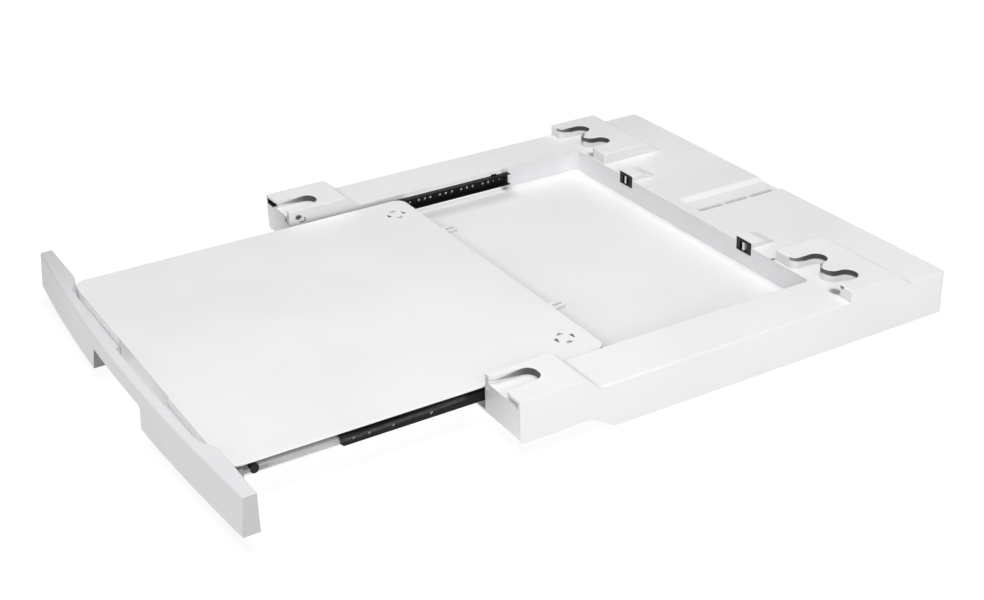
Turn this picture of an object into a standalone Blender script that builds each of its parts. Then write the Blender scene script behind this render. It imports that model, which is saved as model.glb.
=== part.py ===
"""Stacking kit that joins a washer and a dryer, with a shelf on two ball-bearing slides.

The kit is modelled with its front pads' faces on y = 0, the shelf running out towards -Y,
z = 0 on the skirt's bottom edge and x = 0 on the plane of symmetry. An empty then carries
everything so that the origin lies under the middle of the whole kit.
"""
import bpy
import bmesh
from math import cos, pi, radians, sin
from mathutils import Matrix, Vector

# Tray, overall
TRAY_WIDTH = 0.600
DECK_LENGTH = 0.1435
DECK_TOP = 0.0505
WASHER_TOP = 0.0206
TRAY_WALL = 0.0030
TRAY_SKIN = 0.0030
TRAY_CORNER = 0.0060
TRAY_EDGE_ROUND = 0.0020
BAY_HALF_WIDTH = 0.2335
BAY_DEPTH = 0.4215
BAY_FLOOR = 0.0024
BAY_CORNER = 0.0060

# Skirt's step behind the front pads
SKIRT_FRONT_BOTTOM = 0.0166
SKIRT_RISE_START = 0.0500
SKIRT_RISE_STOP = 0.0680
SKIRT_RISE_BOTTOM = 0.0180
SKIRT_STEP_START = 0.0780
SKIRT_STEP_LENGTH = 0.0400
SKIRT_STEP_POINTS = 8

# Ribs under the tray
RIB = 0.0022
RAIL_CELLS = 7
DECK_CELL_COLUMNS = 8
DECK_CELL_ROWS = 2

# Front pads
PAD_TOP = 0.0640
FRONT_PAD_FLAT = 0.0790
FRONT_PAD_RAMP = 0.0150
PAD_ROOT = 0.0080
PAD_EDGE_ROUND = 0.0016
FRONT_FLOOR = 0.0555
FRONT_POCKET_INNER = 0.2440
FRONT_POCKET_OUTER = 0.2710
FRONT_POCKET_LENGTH = 0.0475
FRONT_POCKET_CORNER = 0.0110
FRONT_POCKET_FLARE = 0.0080

# Windows in the front pads
WINDOW_INNER = 0.2730
WINDOW_OUTER = 0.2960
WINDOW_BOTTOM = 0.0550
WINDOW_TOP = 0.0610
WINDOW_DEEP = 0.0040
FACE_HOLE_INNER = 0.2360
FACE_HOLE_WIDTH = 0.0110
FACE_HOLE_BOTTOM = 0.0470
FACE_HOLE_HEIGHT = 0.0060
FACE_HOLE_DEEP = 0.0030
SIDE_HOLE_START = 0.0140
SIDE_HOLE_LENGTH = 0.0080
SIDE_HOLE_DEEP = 0.0040

# Rear pads
REAR_PAD_SET_BACK = 0.0025
REAR_PAD_INNER = 0.1720
REAR_PAD_DRAFT = 0.0020
REAR_PAD_FLAT = 0.0690
REAR_PAD_RAMP = 0.0180
LOBE_INNER_RADIUS = 0.0120
LOBE_OUTER_RADIUS = 0.0125
TONGUE_RADIUS = 0.0125
LOBE_START = 0.2030
LOBE_CENTRE_BACK = 0.0240
REAR_FLARE_INNER = 0.0080
REAR_FLARE_OUTER = 0.0060

# Groove and slots in the rear deck
GROOVE_LEFT = -0.0270
GROOVE_LEFT_SLOPE = 0.0080
GROOVE_RIGHT = 0.0180
GROOVE_RIGHT_SLOPE = 0.0040
GROOVE_DEEP = 0.0040
GROOVE_SET_BACK = 0.0145
SLOT_X = 0.0100
SLOT_WIDTH = 0.0030
SLOT_SET_BACK = 0.0060
SLOT_LENGTH = 0.0350
SLOT_BRIDGE = 0.0045
SLOTS = 3

# Catch clips in the bay's rear wall
CATCH_X = 0.1190
CATCH_WIDTH = 0.0260
CATCH_BOTTOM = 0.0400
CATCH_HEIGHT = 0.0155
CATCH_LENGTH = 0.0160
CATCH_PROUD = 0.0008
CATCH_BRIDGE = 0.0036
CATCH_MOUTH_WIDTH = 0.0046
CATCH_MOUTH_HEIGHT = 0.0110
CATCH_MOUTH_BELOW = 0.0008
CATCH_MOUTH_DEEP = 0.0135
CATCH_CLEARANCE = 0.0003
HOUSING_WALL = 0.0016
HOUSING_LENGTH = 0.0350

# Shelf board
SHELF_HALF_WIDTH = 0.2285
SHELF_TOP = 0.0472
SHELF_FRONT = -0.2737
SHELF_BACK = 0.1524
SHELF_PLATE = 0.0018
SHELF_CORNER = 0.0140
SHELF_EDGE_ROUND = 0.0008
FLANGE_FACE = 0.2185
FLANGE_WALL = 0.0024
FLANGE_BOTTOM = 0.0265
SHELF_RIB_BOTTOM = 0.0360
SHELF_RIB = 0.0018
SHELF_RIBS_ALONG = 4
SHELF_RIBS_ACROSS = 4
REAR_WALL_BOTTOM = 0.0330
FRONT_WALL_BOTTOM = 0.0195

# Rings of arc slots in the shelf
RING_X = 0.1900
RING_Y = 0.1240
RING_RADIUS = 0.0100
RING_SLOT_WIDTH = 0.0022
RING_SLOT_SPAN = 0.8000
RING_SLOTS = 4

# Fascia
FASCIA_HALF_WIDTH = 0.2990
FASCIA_BOTTOM = 0.0187
FASCIA_TOP = 0.0600
FASCIA_END_THICK = 0.0136
FASCIA_BOW = 0.0140
FASCIA_BOW_POINTS = 24
FASCIA_LEAN = 0.0039
FASCIA_BAND = 0.0105
FASCIA_ROUND = 0.0025
FASCIA_CORNER = 0.0008
FASCIA_WALL = 0.0030
FINGER_GROOVE_HALF = 0.1830
FINGER_GROOVE_END = 0.0340
FINGER_GROOVE_FLOOR = 0.0360
FINGER_GROOVE_POINTS = 8
GRIP_HALF_WIDTH = 0.0710
GRIP_TOP = 0.0430
GRIP_SLANT = 0.0020
GRIP_CORNER = 0.0040

# Slides: a fixed outer, a middle and an inner channel, nested round one height
SLIDE_CENTRE = 0.0371
SLIDE_WALL_GAP = 0.0003
OUTER_HALF_HEIGHT = 0.0075
OUTER_WEB = 0.0010
OUTER_WIDTH = 0.0082
OUTER_START = 0.0080
OUTER_LENGTH = 0.3040
RACE_GAP = 0.0015
CHANNEL_WALL = 0.0008
MIDDLE_WIDTH = 0.0092
MIDDLE_START = -0.1600
MIDDLE_LENGTH = 0.2850
MIDDLE_CHAMFER = 0.0035
INNER_START = -0.2430
INNER_LENGTH = 0.2980
INNER_TIP_GAP = 0.0016

# Holes in the slides' webs: the outer's are measured from its rear end, the others from the
# front end
HOLE_RADIUS = 0.0018
OUTER_HOLES = (0.1454, 0.1324, 0.1236, 0.1156, 0.1016, 0.0931, 0.0839, 0.0700, 0.0616, 0.0528,
               0.0378, 0.0296)
OUTER_SMALL_HOLES = (0.0212, 0.0127)
SMALL_HOLE_RADIUS = 0.0012
MIDDLE_HOLES = (0.0149, 0.0317, 0.0581, 0.1006)
BEAD_STARTS = (0.0040, 0.1101)
BEAD_LENGTHS = (0.0240, 0.0300)
BEAD_HEIGHT = 0.0003
BEAD_WIDTH = 0.0016
TAB_FROM_END = 0.0250
TAB_LENGTH = 0.0070
TAB_HEIGHT = 0.0018

# Ball retainers
CAGE = 0.0005
BALL_RADIUS = 0.0005
BALLS = 5
OUTER_CAGE_START = 0.0250
OUTER_CAGE_LENGTH = 0.0900
INNER_CAGE_START = -0.1000
INNER_CAGE_LENGTH = 0.1100
CAGE_REACH = 0.0070

# Bumpers on the inner channels' front ends
BUMPER_RADIUS = 0.0045
BUMPER_LENGTH = 0.0086
BUMPER_SEAT = 0.0003
BUMPER_FOOT_LENGTH = 0.0147

# Strikers on the shelf's rear wall
STRIKER_PLATE = 0.0020
STRIKER_PLATE_WIDTH = 0.0180
STRIKER_PLATE_HEIGHT = 0.0090
STRIKER_PRONG_WIDTH = 0.0034
STRIKER_PRONG_HEIGHT = 0.0040
STRIKER_PRONG_LENGTH = 0.0130

# Screws
SCREW_HEAD_RADIUS = 0.0030
SCREW_HEAD = 0.0014
SCREW_RIM = 0.0003
INNER_HEAD_RADIUS = 0.0020
SCREW_SHANK_RADIUS = 0.0014
SCREW_SHANK = 0.0060
SCREW_CLEARANCE = 0.0003
SCREW_SINK = 0.0001
OUTER_SCREW_FRONT = 0.1640
OUTER_SCREW_MIDDLE = 0.0770
OUTER_SCREW_REAR = 0.0060
INNER_SCREW_FRONT = 0.0130
INNER_SCREW_MIDDLE = 0.1250
INNER_SCREW_REAR = 0.2830
BOSS_RADIUS = 0.0042
FASCIA_SCREWS_X = (-0.2000, -0.1200, 0.1200, 0.2000)

SEAT = 0.0003
CUT = 0.0020
ROUND_SIDES = 24
SMALL_SIDES = 12
SHARP = radians(35.0)

# Worked out from the sizes above
HALF = TRAY_WIDTH / 2
BAY_TOP = WASHER_TOP + BAY_FLOOR
TRAY_DEPTH = BAY_DEPTH + DECK_LENGTH
FASCIA_BACK = SHELF_FRONT - SEAT
FASCIA_FRONT = FASCIA_BACK - FASCIA_END_THICK - FASCIA_BOW - FASCIA_LEAN
GRIP_SHARE = (GRIP_HALF_WIDTH + GRIP_SLANT) / FASCIA_HALF_WIDTH
MIDDLE_Y = (TRAY_DEPTH + FASCIA_FRONT + FASCIA_BOW * GRIP_SHARE * GRIP_SHARE) / 2
WEB_FACE = BAY_HALF_WIDTH - SLIDE_WALL_GAP
OUTER_IN = WEB_FACE - OUTER_WEB
MIDDLE_OUT = OUTER_IN - RACE_GAP
MIDDLE_HALF_HEIGHT = OUTER_HALF_HEIGHT - CHANNEL_WALL - RACE_GAP
INNER_HALF_HEIGHT = MIDDLE_HALF_HEIGHT - CHANNEL_WALL - RACE_GAP
INNER_IN = FLANGE_FACE + SEAT
STRIKER_TOP = SHELF_TOP - SHELF_EDGE_ROUND
CATCH_MOUTH_BOTTOM = STRIKER_TOP - STRIKER_PRONG_HEIGHT - CATCH_MOUTH_BELOW
INNER_OUT = MIDDLE_OUT - CHANNEL_WALL - INNER_TIP_GAP
REAR_PAD_FRONT = BAY_DEPTH + REAR_PAD_SET_BACK
GROOVE_START = BAY_DEPTH + GROOVE_SET_BACK
OUTER_END = OUTER_START + OUTER_LENGTH
OUTER_SCREWS = [
    OUTER_END - place for place in (OUTER_SCREW_FRONT, OUTER_SCREW_MIDDLE, OUTER_SCREW_REAR)
]
INNER_SCREWS = [
    INNER_START + place for place in (INNER_SCREW_FRONT, INNER_SCREW_MIDDLE, INNER_SCREW_REAR)
]


def clear_scene():
    for item in list(bpy.data.objects):
        bpy.data.objects.remove(item, do_unlink=True)


def make_collection(name):
    group = bpy.data.collections.new(name)
    bpy.context.scene.collection.children.link(group)
    return group


def make_material(name, colour, roughness, metallic=0.0):
    material = bpy.data.materials.new(name)
    material.use_nodes = True
    shader = material.node_tree.nodes["Principled BSDF"]
    shader.inputs["Base Color"].default_value = (*colour, 1.0)
    shader.inputs["Roughness"].default_value = roughness
    shader.inputs["Metallic"].default_value = metallic
    return material


clear_scene()
KIT = make_collection("stacking_kit")
CUTTERS = make_collection("cutters")


# Shapes

def arc(centre_a, centre_b, radius, start, stop, steps):
    """Points on a circle from one angle to another, in degrees."""
    points = []
    for step in range(steps + 1):
        angle = radians(start + (stop - start) * step / steps)
        points.append((centre_a + radius * cos(angle), centre_b + radius * sin(angle)))
    return points


def rounded_rectangle(a_low, a_high, b_low, b_high, radius, steps=4):
    points = arc(a_high - radius, b_low + radius, radius, -90, 0, steps)
    points += arc(a_high - radius, b_high - radius, radius, 0, 90, steps)
    points += arc(a_low + radius, b_high - radius, radius, 90, 180, steps)
    points += arc(a_low + radius, b_low + radius, radius, 180, 270, steps)
    return points


def mesh_object(name, mesh, group=None):
    item = bpy.data.objects.new(name, mesh)
    (group or KIT).objects.link(item)
    return item


def closed_mesh(name, build, group=None):
    """Object whose mesh is filled by a function that is given an empty bmesh."""
    shape = bmesh.new()
    build(shape)
    bmesh.ops.recalc_face_normals(shape, faces=shape.faces)
    mesh = bpy.data.meshes.new(name)
    shape.to_mesh(mesh)
    shape.free()
    return mesh_object(name, mesh, group)


def plate(name, outline, low, high, axis="Z", group=None):
    """Flat outline extruded along an axis: a filled 2D curve turned into a closed mesh.

    The outline lies in XY for the axis Z, in YZ for the axis X and in XZ for the axis Y.
    """
    curve = bpy.data.curves.new(name + "_outline", "CURVE")
    curve.dimensions = "2D"
    curve.fill_mode = "BOTH"
    curve.extrude = (high - low) / 2
    spline = curve.splines.new("POLY")
    spline.points.add(len(outline) - 1)
    for point, (a, b) in zip(spline.points, outline):
        point.co = (a, b, 0.0, 1.0)
    spline.use_cyclic_u = True
    guide = mesh_object(name + "_guide", curve, CUTTERS)
    bpy.context.view_layer.update()
    graph = bpy.context.evaluated_depsgraph_get()
    mesh = bpy.data.meshes.new_from_object(guide.evaluated_get(graph))
    mesh.name = name
    turn = {
        "Z": Matrix.Identity(4),
        "X": Matrix(((0, 0, 1, 0), (1, 0, 0, 0), (0, 1, 0, 0), (0, 0, 0, 1))),
        "Y": Matrix(((1, 0, 0, 0), (0, 0, -1, 0), (0, 1, 0, 0), (0, 0, 0, 1))),
    }[axis]
    shift = Vector({"Z": (0, 0, 1), "X": (1, 0, 0), "Y": (0, 1, 0)}[axis]) * (low + high) / 2
    shape = bmesh.new()
    shape.from_mesh(mesh)
    bmesh.ops.remove_doubles(shape, verts=shape.verts, dist=SCREW_SINK / 10)
    bmesh.ops.transform(shape, matrix=Matrix.Translation(shift) @ turn, verts=shape.verts)
    bmesh.ops.dissolve_limit(
        shape, angle_limit=radians(1.0) / 10, verts=shape.verts, edges=shape.edges
    )
    bmesh.ops.recalc_face_normals(shape, faces=shape.faces)
    shape.to_mesh(mesh)
    shape.free()
    bpy.data.objects.remove(guide, do_unlink=True)
    bpy.data.curves.remove(curve)
    return mesh_object(name, mesh, group)


def add_block(shape, x, y, z):
    """Block between two values of x, of y and of z, added to a bmesh."""
    middle = Vector(((x[0] + x[1]) / 2, (y[0] + y[1]) / 2, (z[0] + z[1]) / 2))
    size = Matrix.Diagonal((abs(x[1] - x[0]), abs(y[1] - y[0]), abs(z[1] - z[0]), 1.0))
    bmesh.ops.create_cube(shape, size=1.0, matrix=Matrix.Translation(middle) @ size)


def block(name, x, y, z, group=None):
    return closed_mesh(name, lambda shape: add_block(shape, x, y, z), group)


AXIS_TURN = {
    "Z": Matrix.Identity(4),
    "X": Matrix.Rotation(pi / 2, 4, "Y"),
    "-X": Matrix.Rotation(-pi / 2, 4, "Y"),
    "Y": Matrix.Rotation(-pi / 2, 4, "X"),
    "-Y": Matrix.Rotation(pi / 2, 4, "X"),
}


def add_cone(shape, centre, radius_start, radius_end, length, axis="Z", sides=SMALL_SIDES):
    """Cone or cylinder centred on a point, from its start radius to its end radius."""
    bmesh.ops.create_cone(
        shape,
        cap_ends=True,
        segments=sides,
        radius1=radius_start,
        radius2=radius_end,
        depth=length,
        matrix=Matrix.Translation(Vector(centre)) @ AXIS_TURN[axis],
    )


def add_turned(shape, profile, origin, axis="Z", sides=SMALL_SIDES):
    """Solid of revolution: (radius, distance) points turned about an axis from an origin."""
    turned = bmesh.new()
    verts = [turned.verts.new((radius, 0.0, along)) for radius, along in profile]
    edges = [turned.edges.new(pair) for pair in zip(verts, verts[1:])]
    bmesh.ops.spin(
        turned,
        geom=verts + edges,
        cent=(0.0, 0.0, 0.0),
        axis=(0.0, 0.0, 1.0),
        angle=2 * pi,
        steps=sides,
        use_merge=True,
    )
    bmesh.ops.remove_doubles(turned, verts=turned.verts, dist=SCREW_SINK / 10)
    bmesh.ops.recalc_face_normals(turned, faces=turned.faces)
    place = Matrix.Translation(Vector(origin)) @ AXIS_TURN[axis]
    bmesh.ops.transform(turned, matrix=place, verts=turned.verts)
    mesh = bpy.data.meshes.new("turned")
    turned.to_mesh(mesh)
    turned.free()
    shape.from_mesh(mesh)
    bpy.data.meshes.remove(mesh)


def countersunk(head_radius, grow=0.0):
    """Half-section of a flat-headed screw, from its head's face to its tip."""
    head = head_radius + grow
    shank = SCREW_SHANK_RADIUS + grow
    return [
        (0.0, -grow),
        (head, -grow),
        (head, SCREW_RIM),
        (shank, SCREW_HEAD + grow),
        (shank, SCREW_HEAD + SCREW_SHANK + grow),
        (0.0, SCREW_HEAD + SCREW_SHANK + grow),
    ]


def combine(item, tool, operation, solver="EXACT"):
    step = item.modifiers.new(operation.lower(), "BOOLEAN")
    step.operation = operation
    step.solver = solver
    step.object = tool
    tool.hide_render = True
    tool.display_type = "WIRE"
    for group in list(tool.users_collection):
        group.objects.unlink(tool)
    CUTTERS.objects.link(tool)


def cut(item, *tools):
    for tool in tools:
        combine(item, tool, "DIFFERENCE")


def join(item, *tools):
    for tool in tools:
        combine(item, tool, "UNION")


def join_flush(item, *tools):
    """Union with pieces whose sides lie in the item's own faces, where EXACT leaves seams."""
    for tool in tools:
        combine(item, tool, "UNION", "MANIFOLD")


def soften(item, radius, chosen, segments=2):
    """Round the edges that a test on their two ends chooses."""
    shape = bmesh.new()
    shape.from_mesh(item.data)
    edges = [
        edge
        for edge in shape.edges
        if edge.calc_face_angle(0.0) > SHARP and chosen(*(vert.co for vert in edge.verts))
    ]
    bmesh.ops.bevel(
        shape,
        geom=edges,
        offset=radius,
        offset_type="OFFSET",
        segments=segments,
        profile=0.5,
        affect="EDGES",
        clamp_overlap=True,
    )
    shape.to_mesh(item.data)
    shape.free()
    return item


def at_height(height):
    """Test for edges that lie at one height."""
    return lambda a, b: abs(a.z - height) < SCREW_SINK and abs(b.z - height) < SCREW_SINK


def finish(item, material):
    item.data.materials.clear()
    item.data.materials.append(material)
    item.data.shade_smooth()
    item.data.set_sharp_from_angle(angle=SHARP)
    return item


def side_name(base, side):
    return base + ("_right" if side > 0 else "_left")


def span(side, near, far):
    """Two values of x on one side of the middle plane, the lower first."""
    return (near, far) if side > 0 else (-far, -near)


def mirrored(outline, side):
    return [(side * a, b) for a, b in outline]


# Materials

WHITE = make_material("white_plastic", (0.84, 0.84, 0.85), 0.42)
SHELF_WHITE = make_material("shelf_plastic", (0.83, 0.83, 0.84), 0.38)
FASCIA_WHITE = make_material("fascia_plastic", (0.80, 0.80, 0.82), 0.36)
BLACK_STEEL = make_material("black_steel", (0.020, 0.020, 0.022), 0.38, 0.6)
ZINC = make_material("zinc_steel", (0.62, 0.63, 0.64), 0.32, 1.0)
BLACK_PLASTIC = make_material("black_plastic", (0.018, 0.018, 0.020), 0.45)
RUBBER = make_material("black_rubber", (0.020, 0.020, 0.020), 0.70)
CAGE_PLASTIC = make_material("cage_plastic", (0.55, 0.56, 0.54), 0.50)
SCREW_STEEL = make_material("screw_steel", (0.66, 0.67, 0.68), 0.30, 1.0)


# Tray

def skirt_step():
    """Curve of the skirt's bottom edge: high beside the front pads, then down to zero."""
    front = -TRAY_EDGE_ROUND - CUT
    points = [(front, -CUT), (front, SKIRT_FRONT_BOTTOM)]
    points += [(SKIRT_RISE_START, SKIRT_FRONT_BOTTOM), (SKIRT_RISE_STOP, SKIRT_RISE_BOTTOM)]
    for step in range(SKIRT_STEP_POINTS + 1):
        share = step / SKIRT_STEP_POINTS
        depth = SKIRT_STEP_START + SKIRT_STEP_LENGTH * share
        points.append((depth, SKIRT_RISE_BOTTOM * (1 + cos(pi * share)) / 2))
    points.append((SKIRT_STEP_START + SKIRT_STEP_LENGTH, -CUT))
    return points


def front_pocket_outline():
    corner = FRONT_POCKET_CORNER
    flare = FRONT_POCKET_FLARE
    inner = FRONT_POCKET_INNER
    outer = FRONT_POCKET_OUTER
    points = [(inner - flare, -CUT)]
    points += arc(inner - flare, flare, flare, -90, 0, 5)
    points += arc(inner + corner, FRONT_POCKET_LENGTH - corner, corner, 180, 90, 5)
    points += arc(outer - corner, FRONT_POCKET_LENGTH - corner, corner, 90, 0, 5)
    points += arc(outer + flare, flare, flare, 180, 270, 5)
    points.append((outer + flare, -CUT))
    return points


def rear_pocket_outline():
    """Two lobes with a rounded tongue between them, in an S-shaped run of arcs."""
    line = REAR_PAD_FRONT + LOBE_CENTRE_BACK
    first = LOBE_START + LOBE_INNER_RADIUS
    tongue = first + LOBE_INNER_RADIUS + TONGUE_RADIUS
    second = tongue + TONGUE_RADIUS + LOBE_OUTER_RADIUS
    end = second + LOBE_OUTER_RADIUS
    inner_flare = REAR_FLARE_INNER
    outer_flare = REAR_FLARE_OUTER
    front = REAR_PAD_FRONT
    points = [(LOBE_START - inner_flare, front - CUT)]
    points += arc(LOBE_START - inner_flare, front + inner_flare, inner_flare, -90, 0, 5)
    points += arc(first, line, LOBE_INNER_RADIUS, 180, 0, 10)
    points += arc(tongue, line, TONGUE_RADIUS, 180, 360, 10)[1:]
    points += arc(second, line, LOBE_OUTER_RADIUS, 180, 0, 10)[1:]
    points += arc(end + outer_flare, front + outer_flare, outer_flare, 180, 270, 5)
    points.append((end + outer_flare, front - CUT))
    return points


def front_pad(side):
    flat = FRONT_PAD_FLAT
    profile = [
        (0.0, WASHER_TOP),
        (flat + FRONT_PAD_RAMP + PAD_ROOT, WASHER_TOP),
        (flat + FRONT_PAD_RAMP + PAD_ROOT, DECK_TOP - PAD_ROOT),
        (flat + FRONT_PAD_RAMP, DECK_TOP),
        (flat, PAD_TOP),
        (0.0, PAD_TOP),
    ]
    pad = plate(side_name("front_pad", side), profile, *span(side, BAY_HALF_WIDTH, HALF), "X")
    top = DECK_TOP + PAD_EDGE_ROUND
    return soften(pad, PAD_EDGE_ROUND, lambda a, b: max(a.z, b.z) > top)


def rear_pad(side):
    start = REAR_PAD_FRONT
    flat = start + REAR_PAD_FLAT
    foot = flat + REAR_PAD_RAMP
    profile = [
        (start, DECK_TOP - PAD_ROOT),
        (foot + PAD_ROOT, DECK_TOP - PAD_ROOT),
        (foot, DECK_TOP),
        (flat, PAD_TOP),
        (start, PAD_TOP),
    ]
    name = side_name("rear_pad", side)
    pad = plate(name, profile, *span(side, REAR_PAD_INNER, HALF), "X")
    for vert in pad.data.vertices:
        if abs(vert.co.x) < REAR_PAD_INNER + SCREW_SINK and vert.co.z < DECK_TOP + SCREW_SINK:
            vert.co.x -= side * REAR_PAD_DRAFT
    top = DECK_TOP + PAD_EDGE_ROUND
    return soften(pad, PAD_EDGE_ROUND, lambda a, b: max(a.z, b.z) > top)


def rail_cells(side):
    """Hollows between the ribs under one side rail, deeper under the front pad."""
    near = BAY_HALF_WIDTH + TRAY_WALL
    far = HALF - TRAY_WALL
    start = TRAY_WALL
    stop = BAY_DEPTH - RIB / 2
    pitch = (stop - start + RIB) / RAIL_CELLS

    def build(shape):
        for index in range(RAIL_CELLS):
            low = start + index * pitch
            high = low + pitch - RIB
            roof = FRONT_FLOOR - TRAY_SKIN if high < FRONT_PAD_FLAT else DECK_TOP - TRAY_SKIN
            add_block(shape, span(side, near, far), (low, high), (-CUT, roof))

    return closed_mesh(side_name("rail_cells", side), build)


def deck_cells():
    """Hollows between the ribs under the rear deck, shallower under its groove."""
    left = -HALF + TRAY_WALL
    right = HALF - TRAY_WALL
    start = BAY_DEPTH + RIB / 2
    stop = TRAY_DEPTH - TRAY_WALL
    wide = (right - left + RIB) / DECK_CELL_COLUMNS
    deep = (stop - start + RIB) / DECK_CELL_ROWS

    def build(shape):
        for column in range(DECK_CELL_COLUMNS):
            x_low = left + column * wide
            x_high = x_low + wide - RIB
            grooved = x_high > GROOVE_LEFT and x_low < GROOVE_RIGHT
            clipped = min(abs(x_low), abs(x_high)) < CATCH_X + CATCH_WIDTH
            for row in range(DECK_CELL_ROWS):
                y_low = start + row * deep
                y_high = y_low + deep - RIB
                roof = DECK_TOP - TRAY_SKIN
                if grooved:
                    roof -= GROOVE_DEEP
                elif row == 0 and clipped:
                    roof = CATCH_BOTTOM - HOUSING_WALL
                add_block(shape, (x_low, x_high), (y_low, y_high), (-CUT, roof))

    return closed_mesh("deck_cells", build)


def catch_housing(side):
    """Wedge on the deck that holds one catch clip, sloping back down to the deck."""
    top = CATCH_BOTTOM + CATCH_HEIGHT + HOUSING_WALL
    profile = [
        (BAY_DEPTH, DECK_TOP - PAD_ROOT),
        (BAY_DEPTH + HOUSING_LENGTH + PAD_ROOT, DECK_TOP - PAD_ROOT),
        (BAY_DEPTH + HOUSING_LENGTH, DECK_TOP),
        (BAY_DEPTH + CATCH_LENGTH, top),
        (BAY_DEPTH, top),
    ]
    half = CATCH_WIDTH / 2 + HOUSING_WALL
    ends = span(side, CATCH_X - half, CATCH_X + half)
    housing = plate(side_name("catch_housing", side), profile, *ends, "X")
    edge = DECK_TOP + PAD_EDGE_ROUND
    return soften(housing, PAD_EDGE_ROUND, lambda a, b: min(a.z, b.z) > edge)


def catch_seat(side):
    half = CATCH_WIDTH / 2 + CATCH_CLEARANCE
    return block(
        side_name("catch_seat", side),
        span(side, CATCH_X - half, CATCH_X + half),
        (BAY_DEPTH - CUT, BAY_DEPTH + CATCH_LENGTH - CATCH_PROUD + CATCH_CLEARANCE),
        (CATCH_BOTTOM - CATCH_CLEARANCE, CATCH_BOTTOM + CATCH_HEIGHT + CATCH_CLEARANCE),
    )


def outer_screw_holes(side):
    def build(shape):
        for place in OUTER_SCREWS:
            add_screw(shape, side, place, SCREW_CLEARANCE)

    return closed_mesh(side_name("outer_screw_holes", side), build)


def add_screw(shape, side, place, grow=0.0):
    """Flat-headed screw through an outer channel's web into the bay's wall."""
    origin = (side * (OUTER_IN + SCREW_SINK), place, SLIDE_CENTRE)
    profile = countersunk(SCREW_HEAD_RADIUS, grow)
    add_turned(shape, profile, origin, "X" if side > 0 else "-X")


def window_cutters(side):
    def build(shape):
        add_block(
            shape,
            span(side, WINDOW_INNER, WINDOW_OUTER),
            (-CUT, WINDOW_DEEP),
            (WINDOW_BOTTOM, WINDOW_TOP),
        )
        add_block(
            shape,
            span(side, FACE_HOLE_INNER, FACE_HOLE_INNER + FACE_HOLE_WIDTH),
            (-CUT, FACE_HOLE_DEEP),
            (FACE_HOLE_BOTTOM, FACE_HOLE_BOTTOM + FACE_HOLE_HEIGHT),
        )
        add_block(
            shape,
            span(side, BAY_HALF_WIDTH - CUT, BAY_HALF_WIDTH + SIDE_HOLE_DEEP),
            (SIDE_HOLE_START, SIDE_HOLE_START + SIDE_HOLE_LENGTH),
            (FACE_HOLE_BOTTOM, FACE_HOLE_BOTTOM + FACE_HOLE_HEIGHT),
        )

    return closed_mesh(side_name("windows", side), build)


def groove_cutter():
    low = DECK_TOP - GROOVE_DEEP
    rise = CUT / GROOVE_DEEP
    profile = [
        (GROOVE_LEFT + GROOVE_LEFT_SLOPE, low),
        (GROOVE_RIGHT - GROOVE_RIGHT_SLOPE, low),
        (GROOVE_RIGHT + GROOVE_RIGHT_SLOPE * rise, DECK_TOP + CUT),
        (GROOVE_LEFT - GROOVE_LEFT_SLOPE * rise, DECK_TOP + CUT),
    ]
    return plate("groove", profile, GROOVE_START, TRAY_DEPTH + CUT, "Y")


def slot_cutters():
    def build(shape):
        for index in range(SLOTS):
            start = GROOVE_START + SLOT_SET_BACK + index * (SLOT_LENGTH + SLOT_BRIDGE)
            add_block(
                shape,
                (SLOT_X - SLOT_WIDTH / 2, SLOT_X + SLOT_WIDTH / 2),
                (start, start + SLOT_LENGTH),
                (DECK_TOP - GROOVE_DEEP - TRAY_SKIN - CUT, DECK_TOP + CUT),
            )

    return closed_mesh("deck_slots", build)


def make_tray():
    outline = rounded_rectangle(-HALF, HALF, 0.0, TRAY_DEPTH, TRAY_CORNER)
    tray = plate("base_tray", outline, 0.0, DECK_TOP)
    soften(tray, TRAY_EDGE_ROUND, at_height(DECK_TOP))
    for side in (1, -1):
        join_flush(tray, front_pad(side), rear_pad(side), catch_housing(side))
    bay = rounded_rectangle(
        -BAY_HALF_WIDTH, BAY_HALF_WIDTH, -TRAY_EDGE_ROUND - BAY_CORNER - CUT, BAY_DEPTH, BAY_CORNER
    )
    cut(tray, plate("bay", bay, BAY_TOP, PAD_TOP + CUT))
    under = rounded_rectangle(
        -HALF + TRAY_WALL, HALF - TRAY_WALL, -BAY_CORNER - CUT, TRAY_DEPTH - TRAY_WALL, BAY_CORNER
    )
    cut(tray, plate("washer_space", under, -CUT, WASHER_TOP))
    cut(tray, plate("skirt_step", skirt_step(), -HALF - CUT, HALF + CUT, "X"))
    for side in (1, -1):
        cut(tray, rail_cells(side))
        pocket = mirrored(front_pocket_outline(), side)
        name = side_name("front_pocket", side)
        cut(tray, plate(name, pocket, FRONT_FLOOR, PAD_TOP + CUT))
        pocket = mirrored(rear_pocket_outline(), side)
        name = side_name("rear_pocket", side)
        cut(tray, plate(name, pocket, DECK_TOP, PAD_TOP + CUT))
        cut(tray, window_cutters(side), catch_seat(side), outer_screw_holes(side))
    cut(tray, deck_cells(), groove_cutter(), slot_cutters())
    return finish(tray, WHITE)


# Catch clips

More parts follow.
